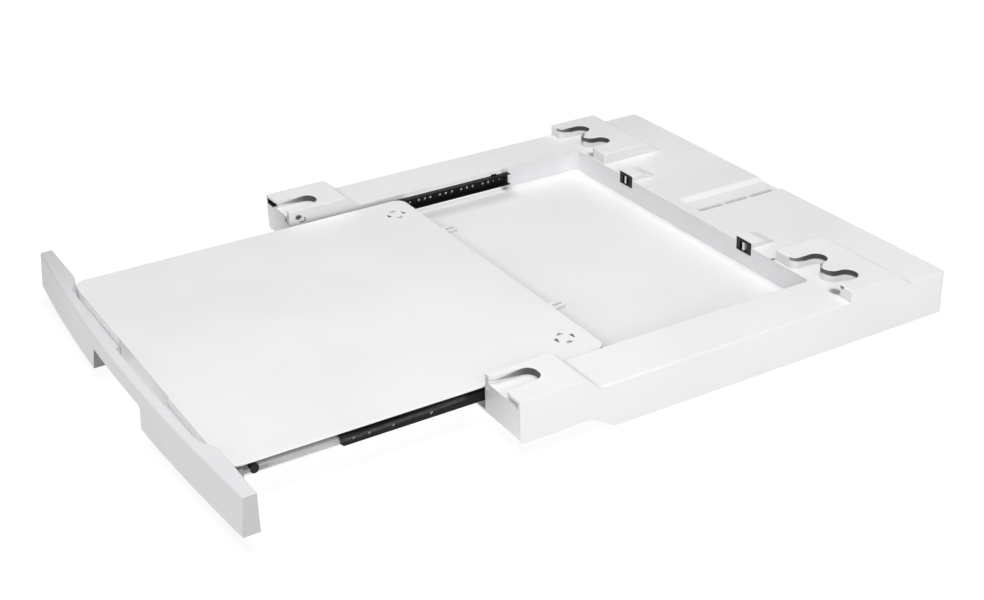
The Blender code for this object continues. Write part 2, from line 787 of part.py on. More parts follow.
def make_catch(side):
    half = CATCH_WIDTH / 2
    front = BAY_DEPTH - CATCH_PROUD
    back = BAY_DEPTH + CATCH_LENGTH - CATCH_PROUD
    clip = block(
        side_name("catch", side),
        span(side, CATCH_X - half, CATCH_X + half),
        (front, back),
        (CATCH_BOTTOM, CATCH_BOTTOM + CATCH_HEIGHT),
    )
    soften(clip, PAD_EDGE_ROUND / 2, lambda a, b: max(a.y, b.y) < front + SCREW_SINK)

    def build(shape):
        for step in (-1, 1):
            centre = side * CATCH_X + step * (CATCH_BRIDGE + CATCH_MOUTH_WIDTH) / 2
            add_block(
                shape,
                (centre - CATCH_MOUTH_WIDTH / 2, centre + CATCH_MOUTH_WIDTH / 2),
                (front - CUT, front + CATCH_MOUTH_DEEP),
                (CATCH_MOUTH_BOTTOM, CATCH_MOUTH_BOTTOM + CATCH_MOUTH_HEIGHT),
            )

    cut(clip, closed_mesh(side_name("catch_mouths", side), build))
    return finish(clip, BLACK_PLASTIC)


# Shelf

def shelf_under():
    """Space under the board's plate, cut away between the flanges and the ribs."""
    plate_under = SHELF_TOP - SHELF_PLATE
    inside = FLANGE_FACE - FLANGE_WALL
    front = SHELF_FRONT + FLANGE_WALL
    back = SHELF_BACK - FLANGE_WALL
    wide = (2 * inside + SHELF_RIB) / (SHELF_RIBS_ALONG + 1)
    deep = (back - front + SHELF_RIB) / (SHELF_RIBS_ACROSS + 1)

    def build(shape):
        for column in range(SHELF_RIBS_ALONG + 1):
            x_low = -inside + column * wide
            for row in range(SHELF_RIBS_ACROSS + 1):
                y_low = front + row * deep
                add_block(
                    shape,
                    (x_low, x_low + wide - SHELF_RIB),
                    (y_low, y_low + deep - SHELF_RIB),
                    (SHELF_RIB_BOTTOM - CUT, plate_under),
                )

    return closed_mesh("shelf_cells", build)


def ring_slots(side):
    """Four short arc slots on one circle."""
    def outline(middle):
        half = RING_SLOT_SPAN / 2 * 180 / pi
        outer = RING_RADIUS + RING_SLOT_WIDTH / 2
        inner = RING_RADIUS - RING_SLOT_WIDTH / 2
        x = side * RING_X
        points = arc(x, RING_Y, outer, middle - half, middle + half, 4)
        return points + arc(x, RING_Y, inner, middle + half, middle - half, 4)

    tools = []
    for index in range(RING_SLOTS):
        name = side_name("ring_slot", side) + str(index)
        turn = 360 / RING_SLOTS * index
        tools.append(plate(name, outline(turn), SHELF_TOP - SHELF_PLATE - CUT, SHELF_TOP + CUT))
    return tools


def inner_screw_at(shape, side, place, grow=0.0):
    """Flat-headed screw through an inner channel's web into the shelf's flange boss."""
    origin = (side * (INNER_IN + CHANNEL_WALL - SCREW_SINK), place, SLIDE_CENTRE)
    profile = countersunk(INNER_HEAD_RADIUS, grow)
    add_turned(shape, profile, origin, "-X" if side > 0 else "X")


def make_shelf():
    outline = rounded_rectangle(
        -SHELF_HALF_WIDTH, SHELF_HALF_WIDTH, SHELF_FRONT, SHELF_BACK, SHELF_CORNER
    )
    shelf = plate("shelf_board", outline, SHELF_TOP - SHELF_PLATE, SHELF_TOP)
    soften(shelf, SHELF_EDGE_ROUND, at_height(SHELF_TOP))
    under = SHELF_TOP - SHELF_PLATE / 2
    core = block(
        "shelf_core",
        (-FLANGE_FACE, FLANGE_FACE),
        (SHELF_FRONT + SCREW_SINK, SHELF_BACK - SCREW_SINK),
        (SHELF_RIB_BOTTOM, under),
    )
    join(shelf, core)
    for side in (1, -1):
        ends = span(side, FLANGE_FACE - FLANGE_WALL, FLANGE_FACE)
        run = (SHELF_FRONT + SCREW_SINK, SHELF_BACK - SCREW_SINK)
        name = side_name("flange", side)
        join(shelf, block(name, ends, run, (FLANGE_BOTTOM, under)))
    run = (SHELF_BACK - FLANGE_WALL, SHELF_BACK - SCREW_SINK)
    ends = (-FLANGE_FACE, FLANGE_FACE)
    join(shelf, block("rear_wall", ends, run, (REAR_WALL_BOTTOM, under)))
    run = (SHELF_FRONT + SCREW_SINK, SHELF_FRONT + FLANGE_WALL)
    join(shelf, block("front_wall", ends, run, (FRONT_WALL_BOTTOM, under)))
    cut(shelf, shelf_under())
    for side in (1, -1):
        def bosses(shape, side=side):
            far = FLANGE_FACE - FLANGE_WALL / 2
            deep = SCREW_SHANK + SCREW_HEAD
            for place in INNER_SCREWS:
                centre = (side * (far - deep / 2), place, SLIDE_CENTRE)
                add_cone(shape, centre, BOSS_RADIUS, BOSS_RADIUS, deep, "X", ROUND_SIDES)

        def holes(shape, side=side):
            for place in INNER_SCREWS:
                inner_screw_at(shape, side, place, SCREW_CLEARANCE)

        join(shelf, closed_mesh(side_name("flange_bosses", side), bosses))
        cut(shelf, closed_mesh(side_name("flange_holes", side), holes))
        cut(shelf, *ring_slots(side))

    def fascia_holes(shape):
        for place in FASCIA_SCREWS_X:
            add_fascia_screw(shape, place, SCREW_CLEARANCE)

    cut(shelf, closed_mesh("front_tab_holes", fascia_holes))
    return finish(shelf, SHELF_WHITE)


# Fascia

def fascia_bow(x):
    """Y of the front face's top edge: an arc of a parabola that is deepest in the middle."""
    share = x / FASCIA_HALF_WIDTH
    return FASCIA_BACK - FASCIA_END_THICK - FASCIA_BOW * (1 - share * share)


def fascia_outline():
    points = [(FASCIA_HALF_WIDTH, FASCIA_BACK), (-FASCIA_HALF_WIDTH, FASCIA_BACK)]
    for step in range(FASCIA_BOW_POINTS + 1):
        x = FASCIA_HALF_WIDTH * (2 * step / FASCIA_BOW_POINTS - 1)
        points.append((x, fascia_bow(x)))
    return points


def finger_groove_outline():
    """Plan of the finger groove: along the bow, swinging back to the board at both ends."""
    end = []
    for step in range(FINGER_GROOVE_POINTS + 1):
        share = step / FINGER_GROOVE_POINTS
        x = FINGER_GROOVE_HALF + FINGER_GROOVE_END * (1 - share)
        deep = fascia_bow(x) + FASCIA_BAND - FASCIA_BACK
        end.append((x, FASCIA_BACK + deep * (1 - cos(pi * share)) / 2))
    middle = []
    for step in range(1, FASCIA_BOW_POINTS):
        x = FINGER_GROOVE_HALF * (1 - 2 * step / FASCIA_BOW_POINTS)
        middle.append((x, fascia_bow(x) + FASCIA_BAND))
    open_end = (FINGER_GROOVE_HALF + FINGER_GROOVE_END, FASCIA_BACK + CUT)
    right = [open_end] + end
    return right + middle + mirrored(right[::-1], -1)


def grip_outline():
    corner = GRIP_CORNER
    top = GRIP_TOP
    half = GRIP_HALF_WIDTH
    low = FASCIA_BOTTOM - CUT
    wide = half + GRIP_SLANT
    points = [(-wide, low), (wide, low)]
    points += arc(half - corner, top - corner, corner, 0, 90, 4)
    points += arc(-half + corner, top - corner, corner, 90, 180, 4)
    return points


def add_fascia_screw(shape, place, grow=0.0):
    """Pan-headed screw from behind the shelf's front wall into the fascia."""
    back = SHELF_FRONT + FLANGE_WALL
    height = (FRONT_WALL_BOTTOM + FINGER_GROOVE_FLOOR) / 2
    head = SCREW_HEAD_RADIUS + grow
    shank = SCREW_SHANK_RADIUS + grow
    seat = SCREW_HEAD - grow
    tip = SCREW_HEAD + SEAT + FLANGE_WALL + SCREW_SHANK + grow
    profile = [(0.0, 0.0), (head, 0.0), (head, seat), (shank, seat), (shank, tip), (0.0, tip)]
    add_turned(shape, profile, (place, back + SEAT + SCREW_HEAD, height), "-Y", ROUND_SIDES)


def fascia_cells():
    """Hollows in the fascia, open below, with posts left for the screws."""
    front = FASCIA_BACK - FASCIA_END_THICK + FASCIA_WALL
    edges = [GRIP_HALF_WIDTH + GRIP_SLANT + FASCIA_WALL]
    for place in FASCIA_SCREWS_X:
        if place > 0:
            edges += [place - BOSS_RADIUS, place + BOSS_RADIUS]
    groove_end = FINGER_GROOVE_HALF + FINGER_GROOVE_END
    edges += [groove_end, groove_end + FASCIA_WALL, FASCIA_HALF_WIDTH - FASCIA_WALL]

    def build(shape):
        for side in (1, -1):
            for near, far in zip(edges[::2], edges[1::2]):
                roof = FASCIA_TOP if near > groove_end else FINGER_GROOVE_FLOOR
                add_block(
                    shape,
                    span(side, near, far),
                    (front, FASCIA_BACK - FASCIA_WALL),
                    (FASCIA_BOTTOM - CUT, roof - FASCIA_WALL),
                )

    return closed_mesh("fascia_cells", build)


def make_fascia():
    fascia = plate("fascia", fascia_outline(), FASCIA_BOTTOM, FASCIA_TOP)
    for vert in fascia.data.vertices:
        if vert.co.y < FASCIA_BACK - SCREW_SINK and vert.co.z < FASCIA_BOTTOM + SCREW_SINK:
            vert.co.y -= FASCIA_LEAN
    front = FASCIA_BACK - FASCIA_END_THICK / 2

    def front_edge(a, b):
        return max(a.y, b.y) < front and at_height(FASCIA_TOP)(a, b)

    def end_edge(a, b):
        return abs(a.x - b.x) < SCREW_SINK and abs(a.z - b.z) > FASCIA_TOP / 2

    soften(fascia, FASCIA_ROUND, front_edge, 3)
    soften(fascia, FASCIA_CORNER, end_edge, 2)
    groove = plate(
        "finger_groove", finger_groove_outline(), FINGER_GROOVE_FLOOR, FASCIA_TOP + CUT
    )
    run = (FASCIA_FRONT - CUT, FASCIA_BACK + CUT)
    cut(fascia, groove, plate("grip", grip_outline(), *run, "Y"), fascia_cells())

    def holes(shape):
        for place in FASCIA_SCREWS_X:
            add_fascia_screw(shape, place, SCREW_CLEARANCE)

    cut(fascia, closed_mesh("fascia_holes", holes))
    return finish(fascia, FASCIA_WHITE)


# Slides

def channel_profile(back, tip, half_height, web, wall):
    """C-shaped section in x and z, from the outer face of its web to its flanges' tips."""
    low = SLIDE_CENTRE - half_height
    high = SLIDE_CENTRE + half_height
    face = back + web * (1 if tip > back else -1)
    return [
        (back, low),
        (tip, low),
        (tip, low + wall),
        (face, low + wall),
        (face, high - wall),
        (tip, high - wall),
        (tip, high),
        (back, high),
    ]


def web_holes(name, side, low, high, rows):
    """Round holes through a web: a row's places along y and their radius, for each row."""
    def build(shape):
        for places, radius in rows:
            for place in places:
                centre = (side * (low + high) / 2, place, SLIDE_CENTRE)
                add_cone(shape, centre, radius, radius, high - low, "X")

    return closed_mesh(name, build)


def make_outer(side):
    tip = WEB_FACE - OUTER_WIDTH
    profile = channel_profile(WEB_FACE, tip, OUTER_HALF_HEIGHT, OUTER_WEB, CHANNEL_WALL)
    name = side_name("slide_outer", side)
    outer = plate(name, mirrored(profile, side), OUTER_START, OUTER_END, "Y")
    tab = block(
        side_name("outer_tab", side),
        span(side, WEB_FACE - OUTER_WIDTH / 3, WEB_FACE - SEAT),
        (OUTER_END - TAB_FROM_END, OUTER_END - TAB_FROM_END + TAB_LENGTH),
        (
            SLIDE_CENTRE + OUTER_HALF_HEIGHT - CHANNEL_WALL / 2,
            SLIDE_CENTRE + OUTER_HALF_HEIGHT + TAB_HEIGHT,
        ),
    )
    join(outer, tab)
    holes = [OUTER_END - place for place in OUTER_HOLES]
    small_holes = [OUTER_END - place for place in OUTER_SMALL_HOLES]
    rows = ((holes, HOLE_RADIUS), (small_holes, SMALL_HOLE_RADIUS))
    low = OUTER_IN - CUT / 2
    high = WEB_FACE + CUT / 2
    cut(outer, web_holes(side_name("outer_holes", side), side, low, high, rows))

    def screws(shape):
        for place in OUTER_SCREWS:
            add_screw(shape, side, place, SCREW_CLEARANCE)

    cut(outer, closed_mesh(side_name("outer_screw_seats", side), screws))
    return finish(outer, BLACK_STEEL)


def make_middle(side):
    low = SLIDE_CENTRE - MIDDLE_HALF_HEIGHT
    tip = MIDDLE_OUT - MIDDLE_WIDTH
    web = MIDDLE_OUT - CHANNEL_WALL
    profile = channel_profile(
        MIDDLE_OUT, tip, MIDDLE_HALF_HEIGHT, CHANNEL_WALL, CHANNEL_WALL
    )
    name = side_name("slide_middle", side)
    stop = MIDDLE_START + MIDDLE_LENGTH
    middle = plate(name, mirrored(profile, side), MIDDLE_START, stop, "Y")
    for set_back, length in zip(BEAD_STARTS, BEAD_LENGTHS):
        start = MIDDLE_START + set_back
        bead = block(
            side_name("bead", side) + str(BEAD_STARTS.index(set_back)),
            span(side, web + CHANNEL_WALL / 2, MIDDLE_OUT + BEAD_HEIGHT),
            (start, start + length),
            (SLIDE_CENTRE - BEAD_WIDTH / 2, SLIDE_CENTRE + BEAD_WIDTH / 2),
        )
        join(middle, bead)
    nose = [
        (MIDDLE_START - CUT, low - CUT),
        (MIDDLE_START + MIDDLE_CHAMFER + CUT, low - CUT),
        (MIDDLE_START - CUT, low + MIDDLE_CHAMFER + CUT),
    ]
    ends = span(side, tip - CUT / 2, MIDDLE_OUT + CUT / 2)
    cut(middle, plate(side_name("middle_nose", side), nose, *ends, "X"))
    rows = (([MIDDLE_START + place for place in MIDDLE_HOLES], HOLE_RADIUS),)
    name = side_name("middle_holes", side)
    cut(middle, web_holes(name, side, web - CUT / 2, MIDDLE_OUT + CUT / 2, rows))
    return finish(middle, BLACK_STEEL)


def make_inner(side):
    profile = channel_profile(
        INNER_IN, INNER_OUT, INNER_HALF_HEIGHT, CHANNEL_WALL, CHANNEL_WALL
    )
    name = side_name("slide_inner", side)
    inner = plate(name, mirrored(profile, side), INNER_START, INNER_START + INNER_LENGTH, "Y")

    def screws(shape):
        for place in INNER_SCREWS:
            inner_screw_at(shape, side, place, SCREW_CLEARANCE)

    cut(inner, closed_mesh(side_name("inner_screw_seats", side), screws))
    return finish(inner, ZINC)


def cage_object(name, side, back, tip, half_height, start, length):
    """C-shaped ball cage with balls standing out of its upper and lower strips."""
    low = SLIDE_CENTRE - half_height
    high = SLIDE_CENTRE + half_height
    profile = channel_profile(back, tip, half_height, CAGE, CAGE)
    cage = plate(name, mirrored(profile, side), start, start + length, "Y")
    pitch = length / BALLS

    def balls(shape):
        for index in range(BALLS):
            place = start + pitch * (index + 1 / 2)
            for height in (low + CAGE / 2, high - CAGE / 2):
                centre = Vector((side * (back + tip) / 2, place, height))
                bmesh.ops.create_uvsphere(
                    shape,
                    u_segments=8,
                    v_segments=6,
                    radius=BALL_RADIUS,
                    matrix=Matrix.Translation(centre),
                )

    join(cage, closed_mesh(name + "_balls", balls))
    return finish(cage, CAGE_PLASTIC)


def make_outer_cage(side):
    back = (OUTER_IN + MIDDLE_OUT + CAGE) / 2
    half_height = MIDDLE_HALF_HEIGHT + (RACE_GAP + CAGE) / 2
    name = side_name("cage_outer", side)
    return cage_object(
        name, side, back, back - CAGE_REACH, half_height, OUTER_CAGE_START, OUTER_CAGE_LENGTH
    )


def make_inner_cage(side):
    back = MIDDLE_OUT - CHANNEL_WALL - (INNER_TIP_GAP - CAGE) / 2
    half_height = INNER_HALF_HEIGHT + (RACE_GAP + CAGE) / 2
    name = side_name("cage_inner", side)
    return cage_object(
        name, side, back, back - CAGE_REACH, half_height, INNER_CAGE_START, INNER_CAGE_LENGTH
    )


def make_bumper(side):
    """Round rubber stop between the fascia and the stem that plugs the inner channel."""
    inside = INNER_IN + CHANNEL_WALL + BUMPER_SEAT
    outside = INNER_OUT
    front = FASCIA_BACK + BUMPER_SEAT
    head = INNER_START - BUMPER_SEAT - BUMPER_RADIUS
    height = INNER_HALF_HEIGHT - CHANNEL_WALL - BUMPER_SEAT

    def drum(shape):
        centre = (side * (inside + outside) / 2, head, SLIDE_CENTRE)
        wide = outside - inside
        add_cone(shape, centre, BUMPER_RADIUS, BUMPER_RADIUS, wide, "X", ROUND_SIDES)

    bumper = closed_mesh(side_name("bumper", side), drum)
    stem = block(
        side_name("bumper_stem", side),
        span(side, inside + SCREW_SINK, outside - SCREW_SINK),
        (front + SCREW_SINK, INNER_START + BUMPER_LENGTH),
        (SLIDE_CENTRE - height, SLIDE_CENTRE + height),
    )
    foot = block(
        side_name("bumper_foot", side),
        span(side, inside + 2 * SCREW_SINK, outside - 2 * SCREW_SINK),
        (front, front + BUMPER_FOOT_LENGTH),
        (SLIDE_CENTRE - OUTER_HALF_HEIGHT, SLIDE_CENTRE + BUMPER_RADIUS - BUMPER_SEAT),
    )
    join(bumper, stem, foot)
    return finish(bumper, RUBBER)


def make_striker(side):
    """Plate on the shelf's rear wall with two prongs that enter the catch clip."""
    top = STRIKER_TOP
    back = SHELF_BACK + SEAT
    striker = block(
        side_name("striker", side),
        span(side, CATCH_X - STRIKER_PLATE_WIDTH / 2, CATCH_X + STRIKER_PLATE_WIDTH / 2),
        (back, back + STRIKER_PLATE),
        (top - STRIKER_PLATE_HEIGHT, top),
    )
    for step in (-1, 1):
        centre = side * CATCH_X + step * (CATCH_BRIDGE + CATCH_MOUTH_WIDTH) / 2
        prong = block(
            side_name("prong", side) + ("_a" if step < 0 else "_b"),
            (centre - STRIKER_PRONG_WIDTH / 2, centre + STRIKER_PRONG_WIDTH / 2),
            (back + STRIKER_PLATE / 2, back + STRIKER_PLATE + STRIKER_PRONG_LENGTH),
            (top - STRIKER_PRONG_HEIGHT, top),
        )
        join(striker, prong)
    return finish(striker, SHELF_WHITE)


def make_screws():
    """Screws of the outer channels, of the inner channels and of the fascia."""
    outer = []
    inner = []
    front = []
    for side in (1, -1):
        for index, place in enumerate(OUTER_SCREWS):
            name = side_name("outer_screw", side) + "_" + str(index + 1)
            outer.append(screw_object(name, add_screw, side, place))
        for index, place in enumerate(INNER_SCREWS):
            name = side_name("inner_screw", side) + "_" + str(index + 1)
            inner.append(screw_object(name, inner_screw_at, side, place))
    for index, place in enumerate(FASCIA_SCREWS_X):
        name = "fascia_screw_" + str(index + 1)
        front.append(screw_object(name, add_fascia_screw, place))
    return outer, inner, front


def screw_object(name, add, *place):
    return finish(closed_mesh(name, lambda shape: add(shape, *place)), SCREW_STEEL)


# Assembly

def make_empty(name, location):
    empty = bpy.data.objects.new(name, None)
    empty.location = location
    KIT.objects.link(empty)
    return empty


def carry(parent, pieces, location):
    """Parent pieces to an empty without moving them from the places they were modelled in."""
    for piece in pieces:
        piece.parent = parent
        piece.location = -Vector(location)


def main():
    tray = make_tray()
    catches = [make_catch(side) for side in (1, -1)]
    shelf = make_shelf()
    fascia = make_fascia()
    outers = [make_outer(side) for side in (1, -1)]
    middles = [make_middle(side) for side in (1, -1)]
    inners = [make_inner(side) for side in (1, -1)]
    outer_cages = [make_outer_cage(side) for side in (1, -1)]
    inner_cages = [make_inner_cage(side) for side in (1, -1)]
    bumpers = [make_bumper(side) for side in (1, -1)]
    strikers = [make_striker(side) for side in (1, -1)]
    outer_screws, inner_screws, fascia_screws = make_screws()

    kit = make_empty("kit", (0.0, -MIDDLE_Y, 0.0))
    carry(kit, [tray] + catches + outers + outer_screws, (0.0, 0.0, 0.0))
    groups = {
        "shelf_axis": [shelf, fascia] + inners + bumpers + strikers + inner_screws + fascia_screws,
        "middle_axis_right": middles[:1],
        "middle_axis_left": middles[1:],
        "outer_cage_axis_right": outer_cages[:1],
        "outer_cage_axis_left": outer_cages[1:],
        "inner_cage_axis_right": inner_cages[:1],
        "inner_cage_axis_left": inner_cages[1:],
    }
    for name, pieces in groups.items():
        side = 0 if name == "shelf_axis" else (1 if name.endswith("right") else -1)
        place = (side * MIDDLE_OUT, 0.0, SLIDE_CENTRE)
        axis = make_empty(name, place)
        axis.parent = kit
        carry(axis, pieces, place)
    for tool in CUTTERS.objects:
        tool.parent = kit


main()
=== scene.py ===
"""Looks of a stacking kit with a pull-out shelf: finishes, added details and studio stage."""

from functools import reduce
from math import cos, pi, radians, sin
from operator import add, mul

import bpy
import numpy as np
from mathutils import Matrix, Vector


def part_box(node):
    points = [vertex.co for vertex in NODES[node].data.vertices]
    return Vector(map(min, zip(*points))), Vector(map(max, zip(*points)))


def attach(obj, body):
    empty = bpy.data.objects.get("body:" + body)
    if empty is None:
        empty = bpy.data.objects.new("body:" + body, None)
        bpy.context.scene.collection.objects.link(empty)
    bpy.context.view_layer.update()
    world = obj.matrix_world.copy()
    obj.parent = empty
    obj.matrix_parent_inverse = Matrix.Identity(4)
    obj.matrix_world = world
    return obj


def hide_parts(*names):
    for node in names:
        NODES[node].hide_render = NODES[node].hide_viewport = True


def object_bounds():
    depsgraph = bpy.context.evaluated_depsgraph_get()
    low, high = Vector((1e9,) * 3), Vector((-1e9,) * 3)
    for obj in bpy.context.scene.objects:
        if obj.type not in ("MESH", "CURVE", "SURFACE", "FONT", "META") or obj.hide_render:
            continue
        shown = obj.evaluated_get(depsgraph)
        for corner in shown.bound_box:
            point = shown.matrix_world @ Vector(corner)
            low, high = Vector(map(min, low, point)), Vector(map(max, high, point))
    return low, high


bl_info = {
    "name": "Stacking kit looks",
    "version": (1, 0, 0),
    "blender": (4, 5, 0),
    "location": "3D View > Sidebar > Stacking kit",
    "description": "Finishes the packed stacking kit and sets its studio stage",
    "category": "Object",
}

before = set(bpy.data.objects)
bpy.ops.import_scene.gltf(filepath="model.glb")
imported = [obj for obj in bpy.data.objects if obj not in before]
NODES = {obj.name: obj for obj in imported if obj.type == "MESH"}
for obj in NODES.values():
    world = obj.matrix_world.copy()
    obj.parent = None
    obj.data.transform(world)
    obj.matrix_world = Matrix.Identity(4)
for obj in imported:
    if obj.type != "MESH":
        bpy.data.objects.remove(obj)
CAD_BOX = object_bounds()
MM = 0.001
RIGHT, LEFT = 1, -1
SIDES = ((RIGHT, "right"), (LEFT, "left"))
BLACK = (0.0, 0.0, 0.0)


def mm(*values):
    """Millimetres as metres."""
    return tuple(value * MM for value in values)


# The tray's own box, and heights on it. Every y below is measured from the tray's front face.
TRAY_LOW, TRAY_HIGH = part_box("base_tray")
FRONT = TRAY_LOW.y
PAD_TOP = TRAY_HIGH.z
KIT_END = CAD_BOX[1].x
DECK_TOP = 50.5 * MM
FRONT_FLOOR = 55.5 * MM

# How far off a flat face a point may lie and still belong to it
SKIN = 1.0 * MM
FACE_SKIN = 0.7 * MM
BOARD_SKIN = 0.6 * MM
END_SKIN = 1.5 * MM

# Textures: repeats in a metre, along each axis where there are three
CLOUD_SCALE = 7.0
GRAIN_SCALE = 1500.0
FLOW_SCALE = 28.0
PEEL_SCALE = 2600.0
SPANGLE_SCALE = 900.0
SMALL_CLOUD_SCALE = 120.0
SMALL_GRAIN_SCALE = 1800.0
RUBBER_GRAIN_SCALE = 2400.0
RUB_STRETCH = (900.0, 14.0, 900.0)
SPECK_STRETCH = (400.0, 120.0, 400.0)
ROLLING_STRETCH = (1200.0, 10.0, 1200.0)

# Textures: depth and strength of their bumps, and radii and samples of the rounded edges
GRAIN_STRENGTH = 0.5
FLOW_BUMP = (0.4 * MM, 0.12)
PEEL_BUMP = (0.02 * MM, 0.4)
ROLLING_BUMP = (0.01 * MM, 0.3)
SMALL_GRAIN_BUMP = (0.02 * MM, 0.35)
COAT_EDGE = 0.3 * MM
ZINC_EDGE = 0.25 * MM
SMALL_EDGE = 0.35 * MM
EDGE_SAMPLES = 6

# Textures: the parts of a noise's values that matter, and what they do to a finish. A colour's
# change is a share of it, and a lift where there are two.
NOISE_CORE = (0.35, 0.65)
NOISE_BODY = (0.3, 0.7)
NOISE_WIDE = (0.2, 0.8)
NOISE_PEAKS = (0.62, 0.78)
NOISE_LOW = (0.3, 0.6)
CLOUD_DARKER = 0.965
MOULDED_GLOSS = (-0.03, 0.04)
RUB_AND_SHEEN_STRENGTH = 0.5
RUB_AND_SHEEN_LIGHTER = (1.5, 0.03)
COAT_ROUGHNESS = (0.36, 0.5)
SPECK_STRENGTHS = (0.35, 1.0)
BAND_HIGHLIGHT_LIGHTER = (1.0, 0.055)
ROLLING_DARKER = 0.82
ROLLING_GLOSS = (0.0, 0.08)
SPANGLE_GLOSS = 0.12
SMALL_LIGHTER = (1.12, 0.012)
SMALL_GLOSS = (-0.05, 0.06)

# Screws: counts, sizes, and shares of the head's or the shank's radius
SCREW_SIDES = 48
SCREW_TOP_RINGS = 22
THREAD_RINGS = 64
THREAD_PITCH = 0.7 * MM
THREAD_SHARE = 0.22
HEAD_DEEP = 1.4 * MM
HEAD_RIM = 0.25 * MM
SHANK_RADIUS = 1.4 * MM
MIDDLE_SHARE = 0.02
ARM_WIDTH_SHARE = 0.15
ARM_WIDTH_FADE = 0.06
ARM_LENGTH_SHARE = 0.62
ARM_LENGTH_FADE = 0.35
RECESS_SHARE = 0.30
SUNK_DOME_SHARE = 0.02
PAN_DOME_SHARE = 0.16
PAN_RIM_SHARE = 0.8
POINT_SHARE = 0.05
SHARP_ANGLE = radians(38)

# Painted highlights in bands on the middle channels, where the channel's lips catch the light: their
# heights at the tray's front, their slope, how far each fades up and down, how strong the upper one
# is, and where they fade out towards the rear
BAND_LOW = 41.5 * MM
BAND_HIGH = 46.5 * MM
BAND_SLOPE = 0.02
BAND_LOW_REACH = mm(1.0, 2.6)
BAND_HIGH_REACH = mm(0.4, 1.4)
BAND_HIGH_STRENGTH = 0.8
BAND_STOP = mm(-28.0, -16.0)

# Inner channels: the width of the cut lips, the painted shade on the roof beside them, and the
# painted light below the roof, with how dark the painted shade on the lips and the roof is
LIP_WIDTH = 0.4 * MM
LIP_SHADE = mm(7.0, 1.0)
LIP_SHADE_DEPTH = 0.4
ROOF_SKIN = 0.2 * MM
ROOF_LIGHT = mm(0.2, 1.5)
ROOF_LIGHT_SHARE = 0.25
ROOF_SHADE_DEPTH = 0.7
CHANNEL_SHADE_COLOUR = (0.1, 0.1, 0.1)

# The bumpers' discs
DISC_MIDDLE = -247.8 * MM
DISC_RADIUS = 4.5 * MM
RUBBER_COLOUR = (0.006, 0.006, 0.006)

# The front foot pockets' shade: the box round it, its run, and its half height and depth there
FRONT_POCKET = (mm(236.0, -1.0, 55.8), mm(279.5, 52.0, 63.7))
FOOT_SHADE_RUN = mm(5.0, 40.0)
FOOT_SHADE_HEIGHTS = mm(1.2, 4.9)
FOOT_SHADE_DEPTHS = (0.45, 0.92)
FOOT_SHADE_SOFT = 1.5 * MM

# The rear foot pockets' shade: the box round it, its run, and its lower edge and depth there
REAR_POCKET = (mm(196.0, 423.5, 50.9), mm(286.0, 462.0, 63.7))
REAR_SHADE_RUN = mm(423.5, 441.5)
REAR_SHADE_EDGES = mm(60.0, 56.5)
REAR_SHADE_DEPTHS = (0.75, 0.96)
REAR_SHADE_SOFT = 1.4 * MM

# The dark insides of the left front pad's window and of the hole beside its pocket, as boxes
WINDOW = (mm(-297.0, -1.0, 53.2), mm(-279.0, 5.0, 61.3))
SIDE_HOLE = (mm(-262.0, 2.0, 46.0), mm(-233.8, 40.0, 54.0))

# Creases at the feet of the pads' ramps
RAMP_FEET = mm(94.0, 511.0)
RAMP_INNER = 172.0 * MM
RAMP_LOW = 49.5 * MM
CREASE_REACH = 4.0 * MM
CREASE_DEPTH = 0.10

# Shade on the front pads' front faces, from the bay outwards
FACE_SHADE_RUN = mm(233.5, 290.0)
FACE_SHADE_DEPTHS = (0.29, 0.02)

# Spots of painted shade on the tray, each with its middle, its reach and its depth
SHADE_SPOTS = (
    (mm(270.0, 428.0, 52.0), mm(9.0, 7.0, 4.0), 0.70),
    (mm(-206.0, 430.0, 52.0), mm(10.0, 7.0, 4.0), 0.55),
    (mm(169.2, 423.4, 52.0), mm(3.0, 3.0, 3.0), 0.85),
    (mm(-233.5, 12.8, 54.5), mm(4.0, 4.4, 3.4), 0.95),
    (mm(-240.0, 0.0, 57.5), mm(8.0, 2.0, 3.5), 0.20),
    (mm(295.2, 0.4, 56.4), mm(1.4, 2.2, 1.6), 0.90),
)

# A spot fades out while the square of the way from its middle, in reaches, runs over these
SPOT_EDGE = (0.4, 1.4)

# Shade lines where each rear pocket's wall runs on between its two lobes, as ends in x and y
STREAKS = (
    (mm(216.5, 455.5), mm(241.0, 428.5)),
    (mm(-262.0, 455.0), mm(-237.5, 433.0)),
)
STREAK_REACH = 3.0 * MM
STREAK_DEPTH = 0.8

# Shade beside the three slots in the deck's groove, with the slots' middles and ends
GROOVE_FLOOR = 46.5 * MM
GROOVE_SHADE_X = 6.5 * MM
GROOVE_SHADE_REACH = 3.2 * MM
GROOVE_SHADE_DEPTH = 0.35
GROOVE_SLOTS = mm(459.5, 499.0, 538.5)
GROOVE_SLOT_ENDS = mm(17.5, 18.5)

# The bay: shade on its floor behind the board and beside the slides, and light on its walls above
# and below the slides and on the floor under them, each with where it starts and stops
BAY_TOP = 23.0 * MM
BAY_WALL = 233.5 * MM
BOARD_SHADE_Y = 171.0 * MM
BOARD_SHADE_REACH = 18.0 * MM
BOARD_SHADE_DEPTH = 0.22
SLIDE_SHADE_X = 211.0 * MM
SLIDE_SHADE_REACH = 20.0 * MM
SLIDE_SHADE_DEPTH = 0.25
SLIDE_START = mm(153.0, 165.0)
SLIDE_SHADE_STOP = mm(305.0, 317.0)
SLIDE_LIGHT_STOP = mm(301.0, 305.0)
WALL_LIGHT_START = 41.0 * MM
WALL_LIGHTS = (0.55, 0.10)
FOOT_LIGHT_TOP = 29.0 * MM
FOOT_LIGHT = 0.32
FLOOR_LIGHT_RUN = mm(218.0, 228.0)
FLOOR_LIGHT = 0.38

